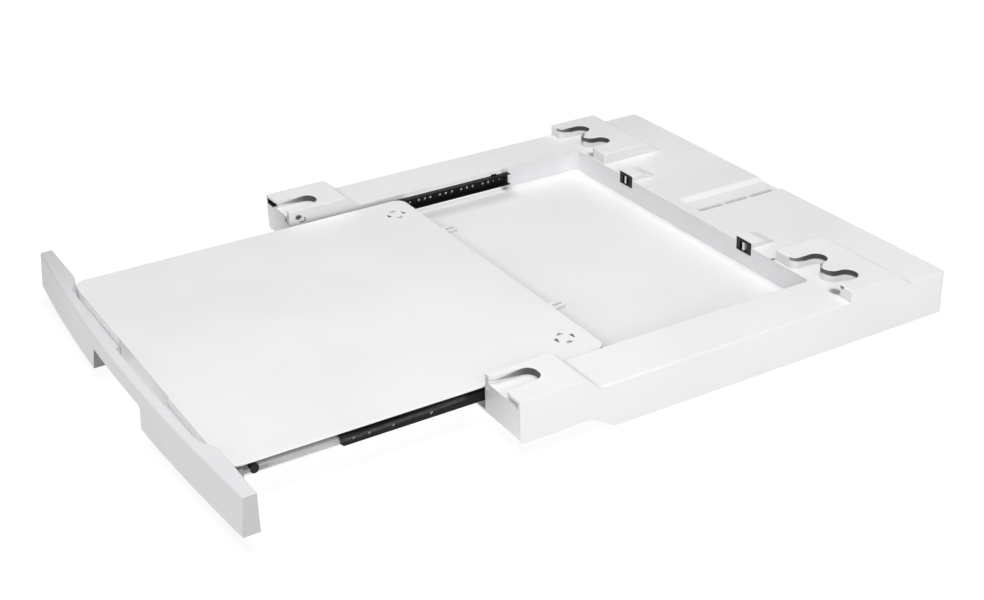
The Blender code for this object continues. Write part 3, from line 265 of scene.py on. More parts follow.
# The rings of slots in the board, and the dots on each: shares of its radius, and depth
RING_X = 188.0 * MM
RING_Y = 124.2 * MM
RING_RADIUS = 9.8 * MM
RING_DOT = 2.4 * MM
RING_DOTS = ((0, 1, 0.75), (0, -1, 0.75), (1, 0, 0.4), (-1, 0, 0.4))

# The board's front wall, the grip cut out of the fascia's bottom edge, with the least x in the
# normals of its side walls, and the fascia's left end, which turns away from the light
BOARD_FRONT = -273.7 * MM
GRIP_HALF_WIDTH = 75.0 * MM
GRIP_TOP = 43.5 * MM
GRIP_BACK = -281.0 * MM
GRIP_NORMAL = 0.5
TURN_RUN = mm(-300.0, -150.0)
TURN_SHADE = 0.82

# The catches, and the light bridge across each one's slot
CATCH_COLOUR = (0.004, 0.004, 0.005)
CATCH_X = 119.2 * MM
BRIDGE_HALF_WIDTH = 1.9 * MM
BRIDGE_MIDDLE = 47.75 * MM
BRIDGE_HALF_HEIGHT = 4.75 * MM
BRIDGE_COLOUR = (0.8, 0.8, 0.8)

# The stage, in metres: each light's name, which is also its setting's, with its place, the point
# that it faces and its width, then the floor, whose glow grows with the way from the middle
LIGHTS = (
    ("top", (0.10, -0.1, 2.2), (0.1, 0.0, 0.0), 2.2),
    ("side", (2.1, 0.0, 0.8), (0.3, 0.15, 0.0), 1.2),
    ("front", (1.5, -2.1, 1.0), (CAD_BOX[0] + CAD_BOX[1]) / 2, 1.2),
)
SENSOR_WIDTH = 36.0
FLOOR_REACH = 12.0
FLOOR_COLOUR = (0.20, 0.20, 0.20)
GLOW_RUN = (0.7, 1.3)


# Shader maths

class Signal:
    """One output in a material's node tree. Arithmetic on it adds the Math nodes."""

    def __init__(self, tree, socket):
        self.tree = tree
        self.socket = socket

    def maths(self, operation, *values):
        return self.tree.node("ShaderNodeMath", {"operation": operation}, dict(enumerate(values)))

    def __add__(self, other):
        return self.maths("ADD", self, other)

    def __sub__(self, other):
        return self.maths("SUBTRACT", self, other)

    def __rsub__(self, other):
        return self.maths("SUBTRACT", other, self)

    def __mul__(self, other):
        return self.maths("MULTIPLY", self, other)

    __radd__ = __add__
    __rmul__ = __mul__

    def near(self, centre, reach):
        """1 where the value lies within a reach of a centre, else 0."""
        return self.maths("COMPARE", self, centre, reach)

    def above(self, level):
        return self.maths("GREATER_THAN", self, level)

    def below(self, level):
        return self.maths("LESS_THAN", self, level)

    def most(self, other):
        return self.maths("MAXIMUM", self, other)

    def magnitude(self):
        return self.maths("ABSOLUTE", self)

    def ramp(self, low, high, start=0.0, stop=1.0):
        """Straight run from start to stop while the value goes from low to high, held outside."""
        inputs = {0: self, 1: low, 2: high, 3: start, 4: stop}
        return self.tree.node("ShaderNodeMapRange", {"clamp": True}, inputs)


class Finish:
    """A new material: its node tree, its Principled shader and the sockets that feed it."""

    def __init__(self, name, sockets=None):
        self.material = bpy.data.materials.new(name)
        self.material.use_nodes = True
        self.nodes = self.material.node_tree.nodes
        self.links = self.material.node_tree.links
        self.shader = self.nodes["Principled BSDF"]
        for label, value in (sockets or {}).items():
            self.set(label, value)

    def node(self, kind, settings=None, inputs=None, output=0):
        """Any node: its settings first, then its sockets' values or links."""
        made = self.nodes.new(kind)
        for key, value in (settings or {}).items():
            setattr(made, key, value)
        for key, value in (inputs or {}).items():
            self.feed(made.inputs[key], value)
        return Signal(self, made.outputs[output])

    def feed(self, socket, value):
        if isinstance(value, Signal):
            self.links.new(value.socket, socket)
        else:
            socket.default_value = value

    def set(self, label, value):
        if isinstance(value, tuple) and len(value) == 3:
            value = (*value, 1.0)
        self.feed(self.shader.inputs[label], value)

    def place(self):
        """Object coordinates as a vector, and as x, y from the tray's front, and z."""
        vector = self.node("ShaderNodeTexCoord", output="Object")
        x, y, z = (
            self.node("ShaderNodeSeparateXYZ", inputs={0: vector}, output=index)
            for index in range(3)
        )
        return vector, (x, y - FRONT, z)

    def noise(self, vector, scale, detail=2.0, roughness=0.5):
        inputs = {"Vector": vector, "Scale": scale, "Detail": detail, "Roughness": roughness}
        return self.node("ShaderNodeTexNoise", inputs=inputs)

    def stretched(self, vector, scale):
        """The coordinates scaled along each axis, for streaks."""
        return self.node("ShaderNodeMapping", inputs={"Vector": vector, "Scale": scale})

    def mix(self, amount, first, second):
        """Colour that goes from the first to the second as the amount goes from 0 to 1."""
        def colour(value):
            return value if isinstance(value, Signal) else (*value, 1.0)

        inputs = {"Factor": amount, 6: colour(first), 7: colour(second)}
        return self.node("ShaderNodeMix", {"data_type": "RGBA"}, inputs, output=2)

    def glow(self, amount, light=1.0, dark=0.0):
        """Light given off, which goes from dark to light as the amount goes from 0 to 1."""
        self.set("Emission Color", self.mix(amount, (dark,) * 3, (light,) * 3))
        self.set("Emission Strength", 1.0)

    def edges(self, radius):
        """Surface normal with its sharp edges rounded by a radius."""
        return self.node("ShaderNodeBevel", {"samples": EDGE_SAMPLES}, {"Radius": radius})

    def bump(self, height, distance, strength, normal=None):
        inputs = {"Height": height, "Distance": distance, "Strength": strength}
        if normal:
            inputs["Normal"] = normal
        return self.node("ShaderNodeBump", inputs=inputs)

    def spot(self, parts, middle, reach):
        """1 at a point of Object coordinates, fading to 0 a little outside an ellipsoid's reach."""
        shares = [
            (part - centre) * (1.0 / radius) for part, centre, radius in zip(parts, middle, reach)
        ]
        return reduce(add, [share * share for share in shares]).ramp(*SPOT_EDGE, 1.0, 0.0)

    def inside(self, parts, low, high):
        """1 inside a box of Object coordinates, else 0."""
        sides = [part.near((a + b) / 2, (b - a) / 2) for part, a, b in zip(parts, low, high)]
        return reduce(mul, sides)


def assign(material, *names):
    for name in names:
        mesh = NODES[name].data
        mesh.materials.clear()
        mesh.materials.append(material)


def both(base):
    return [base + "_" + side for _, side in SIDES]


# Settings

class KitPlasticSettings(bpy.types.PropertyGroup):
    """Colours and grain of the moulded plastics, and the painted light and shade on them."""

    tray_colour: bpy.props.FloatVectorProperty(
        name="Tray colour",
        description="Colour of the moulded base tray",
        subtype="COLOR",
        default=(0.840, 0.838, 0.850),
        min=0.0,
        max=1.0,
    )
    shelf_colour: bpy.props.FloatVectorProperty(
        name="Shelf colour",
        description="Colour of the pull-out board",
        subtype="COLOR",
        default=(0.845, 0.843, 0.853),
        min=0.0,
        max=1.0,
    )
    fascia_colour: bpy.props.FloatVectorProperty(
        name="Fascia colour",
        description="Colour of the shelf's handle panel",
        subtype="COLOR",
        default=(0.755, 0.755, 0.770),
        min=0.0,
        max=1.0,
    )
    # Painted shade on the fascia's flat ends
    fascia_end_shade: bpy.props.FloatProperty(
        name="Fascia ends",
        description="Colour of the fascia's flat ends as a share of its front's",
        default=0.69,
        min=0.0,
        max=1.0,
    )
    # Painted shade on the grip's side walls
    grip_shade: bpy.props.FloatProperty(
        name="Grip sides",
        description="Colour of the grip's side walls as a share of the fascia's front's",
        default=0.27,
        min=0.0,
        max=1.0,
    )
    groove_light: bpy.props.FloatProperty(
        name="Groove light",
        description="Light that the finger groove's pale walls throw on the board's front wall",
        default=0.16,
        min=0.0,
        max=1.0,
    )
    shade_colour: bpy.props.FloatVectorProperty(
        name="Shade",
        description="Colour of the pockets' walls and the small holes, which no light reaches",
        subtype="COLOR",
        default=(0.020, 0.020, 0.022),
        min=0.0,
        max=1.0,
    )
    edge_round: bpy.props.FloatProperty(
        name="Edge rounding",
        description="Radius of the moulded edges",
        subtype="DISTANCE",
        unit="LENGTH",
        default=0.9 * MM,
    )
    grain_depth: bpy.props.FloatProperty(
        name="Grain depth",
        description="Depth of the mould's spark-eroded grain",
        subtype="DISTANCE",
        unit="LENGTH",
        default=0.025 * MM,
    )


class KitSlideSettings(bpy.types.PropertyGroup):
    """Colours of the slides and their small parts, and the painted light in the inner channels."""

    coat_colour: bpy.props.FloatVectorProperty(
        name="Black coat",
        description="Colour of the coated outer and middle channels",
        subtype="COLOR",
        default=(0.011, 0.011, 0.012),
        min=0.0,
        max=1.0,
    )
    zinc_colour: bpy.props.FloatVectorProperty(
        name="Zinc",
        description="Colour of the plated inner channels",
        subtype="COLOR",
        default=(0.790, 0.793, 0.800),
        min=0.0,
        max=1.0,
    )
    screw_colour: bpy.props.FloatVectorProperty(
        name="Screws",
        description="Colour of the plated screws",
        subtype="COLOR",
        default=(0.740, 0.745, 0.755),
        min=0.0,
        max=1.0,
    )
    cage_colour: bpy.props.FloatVectorProperty(
        name="Ball cage",
        description="Colour of the ball retainers",
        subtype="COLOR",
        default=(0.560, 0.570, 0.550),
        min=0.0,
        max=1.0,
    )
    holder_colour: bpy.props.FloatVectorProperty(
        name="Bumper holder",
        description="Colour of the nylon that holds each bumper's rubber disc",
        subtype="COLOR",
        default=(0.330, 0.330, 0.335),
        min=0.0,
        max=1.0,
    )
    channel_light: bpy.props.FloatProperty(
        name="Channel light",
        description="Light thrown into the inner channels by the white parts round them",
        default=0.10,
        min=0.0,
        max=1.0,
    )


class KitStageSettings(bpy.types.PropertyGroup):
    """Camera, floor and studio light."""

    lens: bpy.props.FloatProperty(
        name="Lens",
        description="Focal length on a 36 mm wide sensor, in millimetres",
        default=58.46,
    )
    azimuth: bpy.props.FloatProperty(
        name="Azimuth",
        description="Angle that the camera stands round from the front",
        subtype="ANGLE",
        unit="ROTATION",
        default=radians(59.62),
    )
    elevation: bpy.props.FloatProperty(
        name="Elevation",
        description="Angle that the camera looks down",
        subtype="ANGLE",
        unit="ROTATION",
        default=radians(27.42),
    )
    roll: bpy.props.FloatProperty(
        name="Roll",
        description="Angle that the camera leans round its own line of sight",
        subtype="ANGLE",
        unit="ROTATION",
        default=radians(-1.40),
    )
    place: bpy.props.FloatVectorProperty(
        name="Camera place",
        description="Where the camera stands",
        subtype="TRANSLATION",
        unit="LENGTH",
        default=(1.4255, -0.81825, 0.8605),
    )
    sky: bpy.props.FloatProperty(
        name="Sky",
        description="Strength of the even light from all round",
        default=0.02,
    )
    top: bpy.props.FloatProperty(
        name="Top light",
        description="Power of the soft box above",
        subtype="POWER",
        unit="POWER",
        default=56.5,
    )
    side: bpy.props.FloatProperty(
        name="Side light",
        description="Power of the soft box on the right",
        subtype="POWER",
        unit="POWER",
        default=14.5,
    )
    front: bpy.props.FloatProperty(
        name="Front light",
        description="Power of the soft box in front",
        subtype="POWER",
        unit="POWER",
        default=15.0,
    )
    glow: bpy.props.FloatProperty(
        name="Floor glow",
        description="Light that the paper under the kit gives off, as on a lit table",
        default=0.83,
    )


# Finishes

def scaled(colour, share, lift=0.0):
    """A colour times a share, with a lift added."""
    return tuple(lift + share * part for part in colour)


def moulded(name, colour, settings, roughness=0.42):
    """Grained injection-moulded plastic with rounded edges and faint flow shading."""
    paint = Finish(name, {"IOR": 1.46})
    vector, parts = paint.place()
    cloud = paint.noise(vector, CLOUD_SCALE)
    grain = paint.noise(vector, GRAIN_SCALE, 1.0)
    flow = paint.noise(vector, FLOW_SCALE, 1.0)
    base = paint.mix(cloud.ramp(*NOISE_CORE), scaled(colour, CLOUD_DARKER), colour)
    slow = paint.bump(flow, *FLOW_BUMP, paint.edges(settings.edge_round))
    paint.set("Normal", paint.bump(grain, settings.grain_depth, GRAIN_STRENGTH, slow))
    paint.set("Roughness", roughness + cloud.ramp(*NOISE_BODY, *MOULDED_GLOSS))
    return paint, base, parts


def coated(name, colour):
    """Black electro-coat on steel: fine orange peel, with bright streaks along y, partly worn rubs
    and partly painted highlights.
    """
    paint = Finish(name, {"IOR": 1.5, "Specular IOR Level": 0.12})
    vector, _ = paint.place()
    peel = paint.noise(vector, PEEL_SCALE)
    streak = paint.noise(paint.stretched(vector, RUB_STRETCH), 1.0, 3.0)
    # Bright streaks along y: partly worn rubs, partly painted highlights
    rubs_and_sheen = streak.ramp(*NOISE_PEAKS) * RUB_AND_SHEEN_STRENGTH
    paint.set("Base Color", paint.mix(rubs_and_sheen, colour, scaled(colour, *RUB_AND_SHEEN_LIGHTER)))
    paint.set("Roughness", streak.ramp(*NOISE_BODY, *COAT_ROUGHNESS))
    paint.set("Normal", paint.bump(peel, *PEEL_BUMP, paint.edges(COAT_EDGE)))
    return paint


def band_highlights(paint, colour):
    """Painted highlights in bands along the middle channel's web, where its lips catch the light."""
    vector, (_, y, z) = paint.place()
    speck = paint.noise(paint.stretched(vector, SPECK_STRETCH), 1.0)
    line = z - y * BAND_SLOPE
    low = (line - BAND_LOW).magnitude().ramp(*BAND_LOW_REACH, 1.0, 0.0)
    high = (line - BAND_HIGH).magnitude().ramp(*BAND_HIGH_REACH, BAND_HIGH_STRENGTH, 0.0)
    uneven = speck.ramp(*NOISE_LOW, *SPECK_STRENGTHS)
    # Painted highlights, uneven along the web
    amount = (low + high) * y.ramp(*BAND_STOP, 1.0, 0.0) * uneven
    paint.set("Base Color", paint.mix(amount, colour, scaled(colour, *BAND_HIGHLIGHT_LIGHTER)))


def plated(name, colour, roughness=0.40):
    """Dull zinc plate: rolling streaks along the channel and a faint spangle."""
    paint = Finish(name, {"Metallic": 0.10})
    vector, _ = paint.place()
    cells = {"Vector": vector, "Scale": SPANGLE_SCALE}
    spangle = paint.node("ShaderNodeTexVoronoi", inputs=cells, output="Distance")
    streak = paint.noise(paint.stretched(vector, ROLLING_STRETCH), 1.0, 3.0)
    base = paint.mix(streak.ramp(*NOISE_BODY), scaled(colour, ROLLING_DARKER), colour)
    paint.set("Base Color", base)
    uneven = SPANGLE_GLOSS * spangle + streak.ramp(*NOISE_WIDE, *ROLLING_GLOSS)
    paint.set("Roughness", roughness + uneven)
    paint.set("Normal", paint.bump(streak, *ROLLING_BUMP, paint.edges(ZINC_EDGE)))
    return paint, base


def channel_light(paint, base, lip, roof, strength):
    """Paints shade on a channel's cut lips and on the roof beside them, and adds the light that
    white surroundings throw into it.
    """
    x, _, z = paint.place()[1]
    across = x.magnitude()
    lips = across.ramp(lip - LIP_WIDTH, lip)
    far, near = LIP_SHADE
    covered = across.ramp(lip - far, lip - near, ROOF_SHADE_DEPTH, 0.0) * z.above(roof - ROOF_SKIN)
    # Painted shade on the cut lips and on the roof beside them
    paint.set("Base Color", paint.mix(covered + lips * LIP_SHADE_DEPTH, base, CHANNEL_SHADE_COLOUR))
    paint.glow((roof - z).ramp(*ROOF_LIGHT, ROOF_LIGHT_SHARE, 1.0) * (1.0 - lips), strength)


def plain_moulding(name, colour, roughness, grain_scale=SMALL_GRAIN_SCALE):
    """Small moulded or rubber piece: fine grain and slightly uneven gloss."""
    paint = Finish(name, {"IOR": 1.48})
    vector, parts = paint.place()
    grain = paint.noise(vector, grain_scale)
    cloud = paint.noise(vector, SMALL_CLOUD_SCALE)
    base = paint.mix(cloud.ramp(*NOISE_CORE), colour, scaled(colour, *SMALL_LIGHTER))
    paint.set("Base Color", base)
    paint.set("Roughness", roughness + cloud.ramp(*NOISE_BODY, *SMALL_GLOSS))
    paint.set("Normal", paint.bump(grain, *SMALL_GRAIN_BUMP, paint.edges(SMALL_EDGE)))
    return paint, base, parts


# Surfaces

def closed_rings(name, rings):
    """Closed mesh from rings of points: quads between neighbouring rings, a lid on each end."""
    count, around, _ = rings.shape
    here = np.arange(around)
    after = np.roll(here, -1)
    low = np.arange(count - 1)[:, None] * around
    high = low + around
    quads = np.stack((low + here, high + here, high + after, low + after), axis=2)
    faces = quads.reshape(-1, 4).tolist()
    faces += [here.tolist(), (high[-1] + here)[::-1].tolist()]
    mesh = bpy.data.meshes.new(name)
    mesh.from_pydata(rings.reshape(-1, 3).tolist(), [], faces)
    mesh.shade_smooth()
    mesh.set_sharp_from_angle(angle=SHARP_ANGLE)
    piece = bpy.data.objects.new(name, mesh)
    bpy.context.scene.collection.objects.link(piece)
    return piece


def screw_rings(head, shank, long, sunk):
    """Rings of a cross-recessed screw whose head's top lies on z = 0.

    The top is a shallow dome, z = -dome (r / head)^2, with a cross pressed into it: the depth
    falls off across each arm's width and along its length. Below a rim the head runs in to the
    shank as a cone, or flat if the screw isn't sunk. The shank's radius ripples with the angle
    and the height, which makes a one-start thread, and ends in a cone.
    """
    turn = np.linspace(0.0, 2 * pi, SCREW_SIDES, endpoint=False)

    def level_ring(radius, z):
        height = np.full(SCREW_SIDES, z)
        return np.stack((radius * np.cos(turn), radius * np.sin(turn), height), axis=1)[None]

    radius = np.linspace(MIDDLE_SHARE, 1.0, SCREW_TOP_RINGS)[:, None] * head
    x, y = radius * np.cos(turn), radius * np.sin(turn)
    across, along = np.minimum(abs(x), abs(y)), np.maximum(abs(x), abs(y))
    arm = np.clip((ARM_WIDTH_SHARE * head - across) / (ARM_WIDTH_FADE * head), 0.0, 1.0)
    arm *= np.clip((ARM_LENGTH_SHARE * head - along) / (ARM_LENGTH_FADE * head), 0.0, 1.0)
    dome = (SUNK_DOME_SHARE if sunk else PAN_DOME_SHARE) * head
    top = -dome * (radius / head) ** 2 - RECESS_SHARE * head * arm
    rim = -dome - HEAD_RIM if sunk else -PAN_RIM_SHARE * HEAD_DEEP

    levels = np.linspace(HEAD_DEEP, long - shank, THREAD_RINGS)[:, None]
    ripple = 0.5 + 0.5 * np.cos(2 * pi * levels / THREAD_PITCH - turn)
    thread = shank * (1.0 - THREAD_SHARE * ripple)
    deep = np.broadcast_to(-levels, thread.shape)
    return np.concatenate((
        np.stack((x, y, top), axis=2),
        level_ring(head, rim),
        level_ring(shank if sunk else head, -HEAD_DEEP),
        np.stack((thread * np.cos(turn), thread * np.sin(turn), deep), axis=2),
        level_ring(POINT_SHARE * shank, -long),
    ))


def placed(rings, place, outward):
    """The rings turned so that their z axis points outward, and moved to a place."""
    axis = np.array(outward, dtype=float)
    level = np.array((0.0, 0.0, 1.0))
    turned = np.stack((level, np.cross(axis, level), axis))
    return rings @ turned + np.array(place)


def screw(node, outward, body, sunk):
    """Cross-recessed screw in the room of one of the frame's plain ones."""
    low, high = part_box(node)
    size, middle = high - low, (low + high) / 2
    outward = Vector(outward)
    long = abs(size.dot(outward))
    rings = screw_rings(size.z / 2, SHANK_RADIUS, long, sunk)
    piece = closed_rings(node + "_detail", placed(rings, middle + outward * (long / 2), outward))
    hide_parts(node)
    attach(piece, body)
    return piece


# Shades

def foot_shade(paint, parts):
    """Shade on the far wall of the front foot pockets, which deepens towards the rear."""
    x, y, z = parts
    wall = paint.inside((x.magnitude(), y, z), *FRONT_POCKET)
    height = y.ramp(*FOOT_SHADE_RUN, *FOOT_SHADE_HEIGHTS)
    offset = (z - (FRONT_FLOOR + PAD_TOP) / 2).magnitude()
    depth = y.ramp(*FOOT_SHADE_RUN, *FOOT_SHADE_DEPTHS)
    return wall * (height - offset).ramp(0.0, FOOT_SHADE_SOFT) * depth


def rear_shade(paint, parts):
    """Shade under the rims of the rear foot pockets, which deepens towards the rear."""
    x, y, z = parts
    wall = paint.inside((x.magnitude(), y, z), *REAR_POCKET)
    edge = y.ramp(*REAR_SHADE_RUN, *REAR_SHADE_EDGES)
    depth = y.ramp(*REAR_SHADE_RUN, *REAR_SHADE_DEPTHS)
    return wall * (z - edge).ramp(0.0, REAR_SHADE_SOFT) * depth


def crease_shade(parts):
    """Soft dark line at the foot of each pad's ramp."""
    x, y, z = parts
    lines = [(y - foot).magnitude().ramp(0.0, CREASE_REACH, CREASE_DEPTH, 0.0) for foot in RAMP_FEET]
    return reduce(add, lines) * (x.magnitude().above(RAMP_INNER) * z.above(RAMP_LOW))


def hole_shade(paint, parts):
    """Dark insides of the left front pad's window and of the small hole beside its pocket."""
    return paint.inside(parts, *WINDOW).most(paint.inside(parts, *SIDE_HOLE))


def bay_floor(across, z):
    """1 on the bay's floor, else 0."""
    return z.near(BAY_TOP, SKIN) * across.below(BAY_WALL)


def bay_shade(parts):
    """Shade on the bay's floor behind the pulled-out board's rear edge, and beside the slides."""
    x, y, z = parts
    across = x.magnitude()
    behind = (y - BOARD_SHADE_Y).magnitude().ramp(0.0, BOARD_SHADE_REACH, BOARD_SHADE_DEPTH, 0.0)
    from_slide = (across - SLIDE_SHADE_X).magnitude()
    beside = from_slide.ramp(0.0, SLIDE_SHADE_REACH, SLIDE_SHADE_DEPTH, 0.0)
    length = y.ramp(*SLIDE_START) * y.ramp(*SLIDE_SHADE_STOP, 1.0, 0.0)
    return bay_floor(across, z) * behind.most(beside * length)


def bay_light(parts):
    """Light that the white bay throws on its walls above and below the slides, and on its floor."""
    x, y, z = parts
    across = x.magnitude()
    wall = across.near(BAY_WALL, SKIN)
    above = wall * z.above(WALL_LIGHT_START) * z.ramp(WALL_LIGHT_START, DECK_TOP, *WALL_LIGHTS)
    foot = wall * z.below(FOOT_LIGHT_TOP) * z.above(BAY_TOP - SKIN) * FOOT_LIGHT
    under = bay_floor(across, z) * across.ramp(*FLOOR_LIGHT_RUN, 0.0, FLOOR_LIGHT)
    length = y.ramp(*SLIDE_START) * y.ramp(*SLIDE_LIGHT_STOP, 1.0, 0.0)
    return length * above.most(under.most(foot))


def front_shade(parts):
    """Shade on the front pads' front faces, which deepens towards the bay."""
    x, y, _ = parts
    return y.near(0.0, FACE_SKIN) * x.magnitude().ramp(*FACE_SHADE_RUN, *FACE_SHADE_DEPTHS)


def streak_shade(parts, start, stop):
    """Soft line on the rear pads between two points in plan."""
    x, y, z = parts
    run = Vector(stop) - Vector(start)
    half = run.length / 2
    ahead = run.normalized()
    x, y = x - start[0], y - start[1]
    along = x * ahead.x + y * ahead.y
    across = (y * ahead.x - x * ahead.y).magnitude()
    length = (along - half).magnitude().ramp(half, half + STREAK_REACH, 1.0, 0.0)
    line = across.ramp(0.0, STREAK_REACH, STREAK_DEPTH, 0.0)
    return line * length * z.above(FRONT_FLOOR)


def groove_shade(parts):
    """Soft dark line beside each slot in the deck's groove."""
    x, y, z = parts
    line = (x - GROOVE_SHADE_X).magnitude().ramp(0.0, GROOVE_SHADE_REACH, GROOVE_SHADE_DEPTH, 0.0)
    slots = [(y - middle).magnitude().ramp(*GROOVE_SLOT_ENDS, 1.0, 0.0) for middle in GROOVE_SLOTS]
    return line * reduce(add, slots) * z.near(GROOVE_FLOOR, SKIN)


def ring_shade(paint, parts):
    """Dark dots over the rings of slots near the board's rear corners."""
    x, y, _ = parts
    dots = []
    for share_x, share_y, depth in RING_DOTS:
        middle = (RING_X + share_x * RING_RADIUS, RING_Y + share_y * RING_RADIUS)
        dots.append(paint.spot((x.magnitude(), y), middle, (RING_DOT, RING_DOT)) * depth)
    return reduce(add, dots)


def grip_shade(paint, parts):
    """The side walls of the grip cut out of the fascia, as far back as the finger groove."""
    x, y, z = parts
    normal = paint.node("ShaderNodeNewGeometry", output="True Normal")
    normal_x = paint.node("ShaderNodeSeparateXYZ", inputs={0: normal})
    sideways = normal_x.magnitude().above(GRIP_NORMAL)
    return sideways * x.magnitude().below(GRIP_HALF_WIDTH) * z.below(GRIP_TOP) * y.below(GRIP_BACK)


# Operators

class KIT_OT_tray(bpy.types.Operator):
    """Finish the base tray, with its pockets in shade and its bay lit"""

    bl_idname = "kit.tray"
    bl_label = "Tray"

    def execute(self, context):
        settings = context.scene.kit_plastic
        paint, base, parts = moulded("tray_plastic", tuple(settings.tray_colour), settings)
        shades = [
            crease_shade(parts),
            foot_shade(paint, parts),
            rear_shade(paint, parts),
            hole_shade(paint, parts),
            bay_shade(parts),
            front_shade(parts),
            groove_shade(parts),
        ]
        shades += [streak_shade(parts, *ends) for ends in STREAKS]
        # Spots of painted shade
        shades += [paint.spot(parts, middle, reach) * depth for middle, reach, depth in SHADE_SPOTS]
        for shade in shades:
            base = paint.mix(shade, base, tuple(settings.shade_colour))
        paint.set("Base Color", base)
        paint.glow(bay_light(parts))
        assign(paint.material, "base_tray")
        return {"FINISHED"}


class KIT_OT_shelf(bpy.types.Operator):
    """Finish the pull-out board and its strikers"""

    bl_idname = "kit.shelf"
    bl_label = "Shelf"

    def execute(self, context):
        settings = context.scene.kit_plastic
        paint, base, parts = moulded("shelf_plastic", tuple(settings.shelf_colour), settings, 0.38)
        dark = tuple(settings.shade_colour)
        paint.set("Base Color", paint.mix(ring_shade(paint, parts), base, dark))
        x, y, _ = parts
        wall = y.near(BOARD_FRONT, BOARD_SKIN) * x.magnitude().above(GRIP_HALF_WIDTH)
        paint.glow(wall, settings.groove_light)
        assign(paint.material, "shelf_board", *both("striker"))
        return {"FINISHED"}


class KIT_OT_fascia(bpy.types.Operator):
    """Finish the shelf's handle panel"""

    bl_idname = "kit.fascia"
    bl_label = "Fascia"

    def execute(self, context):
        settings = context.scene.kit_plastic
        colour = tuple(settings.fascia_colour)
        paint, base, parts = moulded("fascia_plastic", colour, settings, 0.34)
        # Painted shade: darker towards the left end, on the flat ends and on the grip's side walls
        front = paint.mix(parts[0].ramp(*TURN_RUN, TURN_SHADE, 1.0), BLACK, base)
        ends = parts[0].magnitude().above(KIT_END - END_SKIN)
        face = paint.mix(ends, front, scaled(colour, settings.fascia_end_shade))
        walls = scaled(colour, settings.grip_shade)
        paint.set("Base Color", paint.mix(grip_shade(paint, parts), face, walls))
        assign(paint.material, "fascia")
        return {"FINISHED"}


class KIT_OT_slides(bpy.types.Operator):
    """Finish the slides' channels, ball cages and bumpers"""

    bl_idname = "kit.slides"
    bl_label = "Slides"

    def execute(self, context):
        settings = context.scene.kit_slides
        colour = tuple(settings.coat_colour)
        assign(coated("black_coat", colour).material, *both("slide_outer"))
        # Middle channels: black coat with painted highlights in bands
        highlit = coated("rolled_coat", colour)
        band_highlights(highlit, colour)
        assign(highlit.material, *both("slide_middle"))
        zinc, base = plated("zinc_plate", tuple(settings.zinc_colour))
        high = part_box("slide_inner_right")[1]
        channel_light(zinc, base, high.x, high.z, settings.channel_light)
        assign(zinc.material, *both("slide_inner"))
        cage, _, _ = plain_moulding("cage_moulding", tuple(settings.cage_colour), 0.5)
        assign(cage.material, *both("cage_outer"), *both("cage_inner"))
        rubber, base, (_, y, _) = plain_moulding(
            "bumper_rubber", RUBBER_COLOUR, 0.8, RUBBER_GRAIN_SCALE
        )
        holder = (y - DISC_MIDDLE).magnitude().above(DISC_RADIUS)
        rubber.set("Base Color", rubber.mix(holder, base, tuple(settings.holder_colour)))
        assign(rubber.material, *both("bumper"))
        return {"FINISHED"}


class KIT_OT_screws(bpy.types.Operator):
    """Swap the plain screws for threaded ones with a cross recess"""

    bl_idname = "kit.screws"
    bl_label = "Screws"

    def execute(self, context):
        settings = context.scene.kit_slides
        zinc, _ = plated("screw_zinc", tuple(settings.screw_colour), 0.30)
        black = coated("screw_black", tuple(settings.coat_colour))
        names = [name for name in NODES if "screw" in name]
        if not names:
            raise RuntimeError("The frame has no screws")
        for name in names:
            outer = name.startswith("outer")
            if name.startswith("fascia"):
                piece = screw(name, (0.0, 1.0, 0.0), "shelf", False)
            else:
                side = RIGHT if "right" in name else LEFT
                inward = (-side if outer else side, 0.0, 0.0)
                piece = screw(name, inward, "tray" if outer else "shelf", True)
            piece.data.materials.append((black if outer else zinc).material)
        return {"FINISHED"}


class KIT_OT_catches(bpy.types.Operator):
    """Finish the catch clips"""

    bl_idname = "kit.catches"
    bl_label = "Catches"

    def execute(self, context):
        black, base, (x, _, z) = plain_moulding("catch_moulding", CATCH_COLOUR, 0.6)
        bridge = x.magnitude().near(CATCH_X, BRIDGE_HALF_WIDTH)
        bridge = bridge * z.near(BRIDGE_MIDDLE, BRIDGE_HALF_HEIGHT)
        black.set("Base Color", black.mix(bridge, base, BRIDGE_COLOUR))
        assign(black.material, *both("catch"))
        return {"FINISHED"}


def area_light(name, place, target, width, power):
    """Square soft light that faces a point."""
    data = bpy.data.lights.new(name, "AREA")
    data.shape = "SQUARE"
    data.size = width
    data.energy = power
    light = bpy.data.objects.new(name, data)
    bpy.context.scene.collection.objects.link(light)
    light.location = place
    light.rotation_euler = (Vector(target) - Vector(place)).to_track_quat("-Z", "Y").to_euler()


def camera(settings):
    """Camera turned from a level look along +Y by its azimuth, elevation and roll."""
    data = bpy.data.cameras.new("camera")
    data.sensor_width = SENSOR_WIDTH
    data.lens = settings.lens
    made = bpy.data.objects.new("camera", data)
    bpy.context.scene.collection.objects.link(made)
    azimuth, elevation, roll = settings.azimuth, settings.elevation, settings.roll
    ahead = Vector((-sin(azimuth) * cos(elevation), cos(azimuth) * cos(elevation), -sin(elevation)))
    level = Vector((cos(azimuth), sin(azimuth), 0.0))
    upright = level.cross(ahead)
    right = level * cos(roll) + upright * sin(roll)
    up = upright * cos(roll) - level * sin(roll)
    turn = Matrix((right, up, -ahead)).transposed().to_4x4()
    made.matrix_world = Matrix.Translation(settings.place) @ turn
    return made


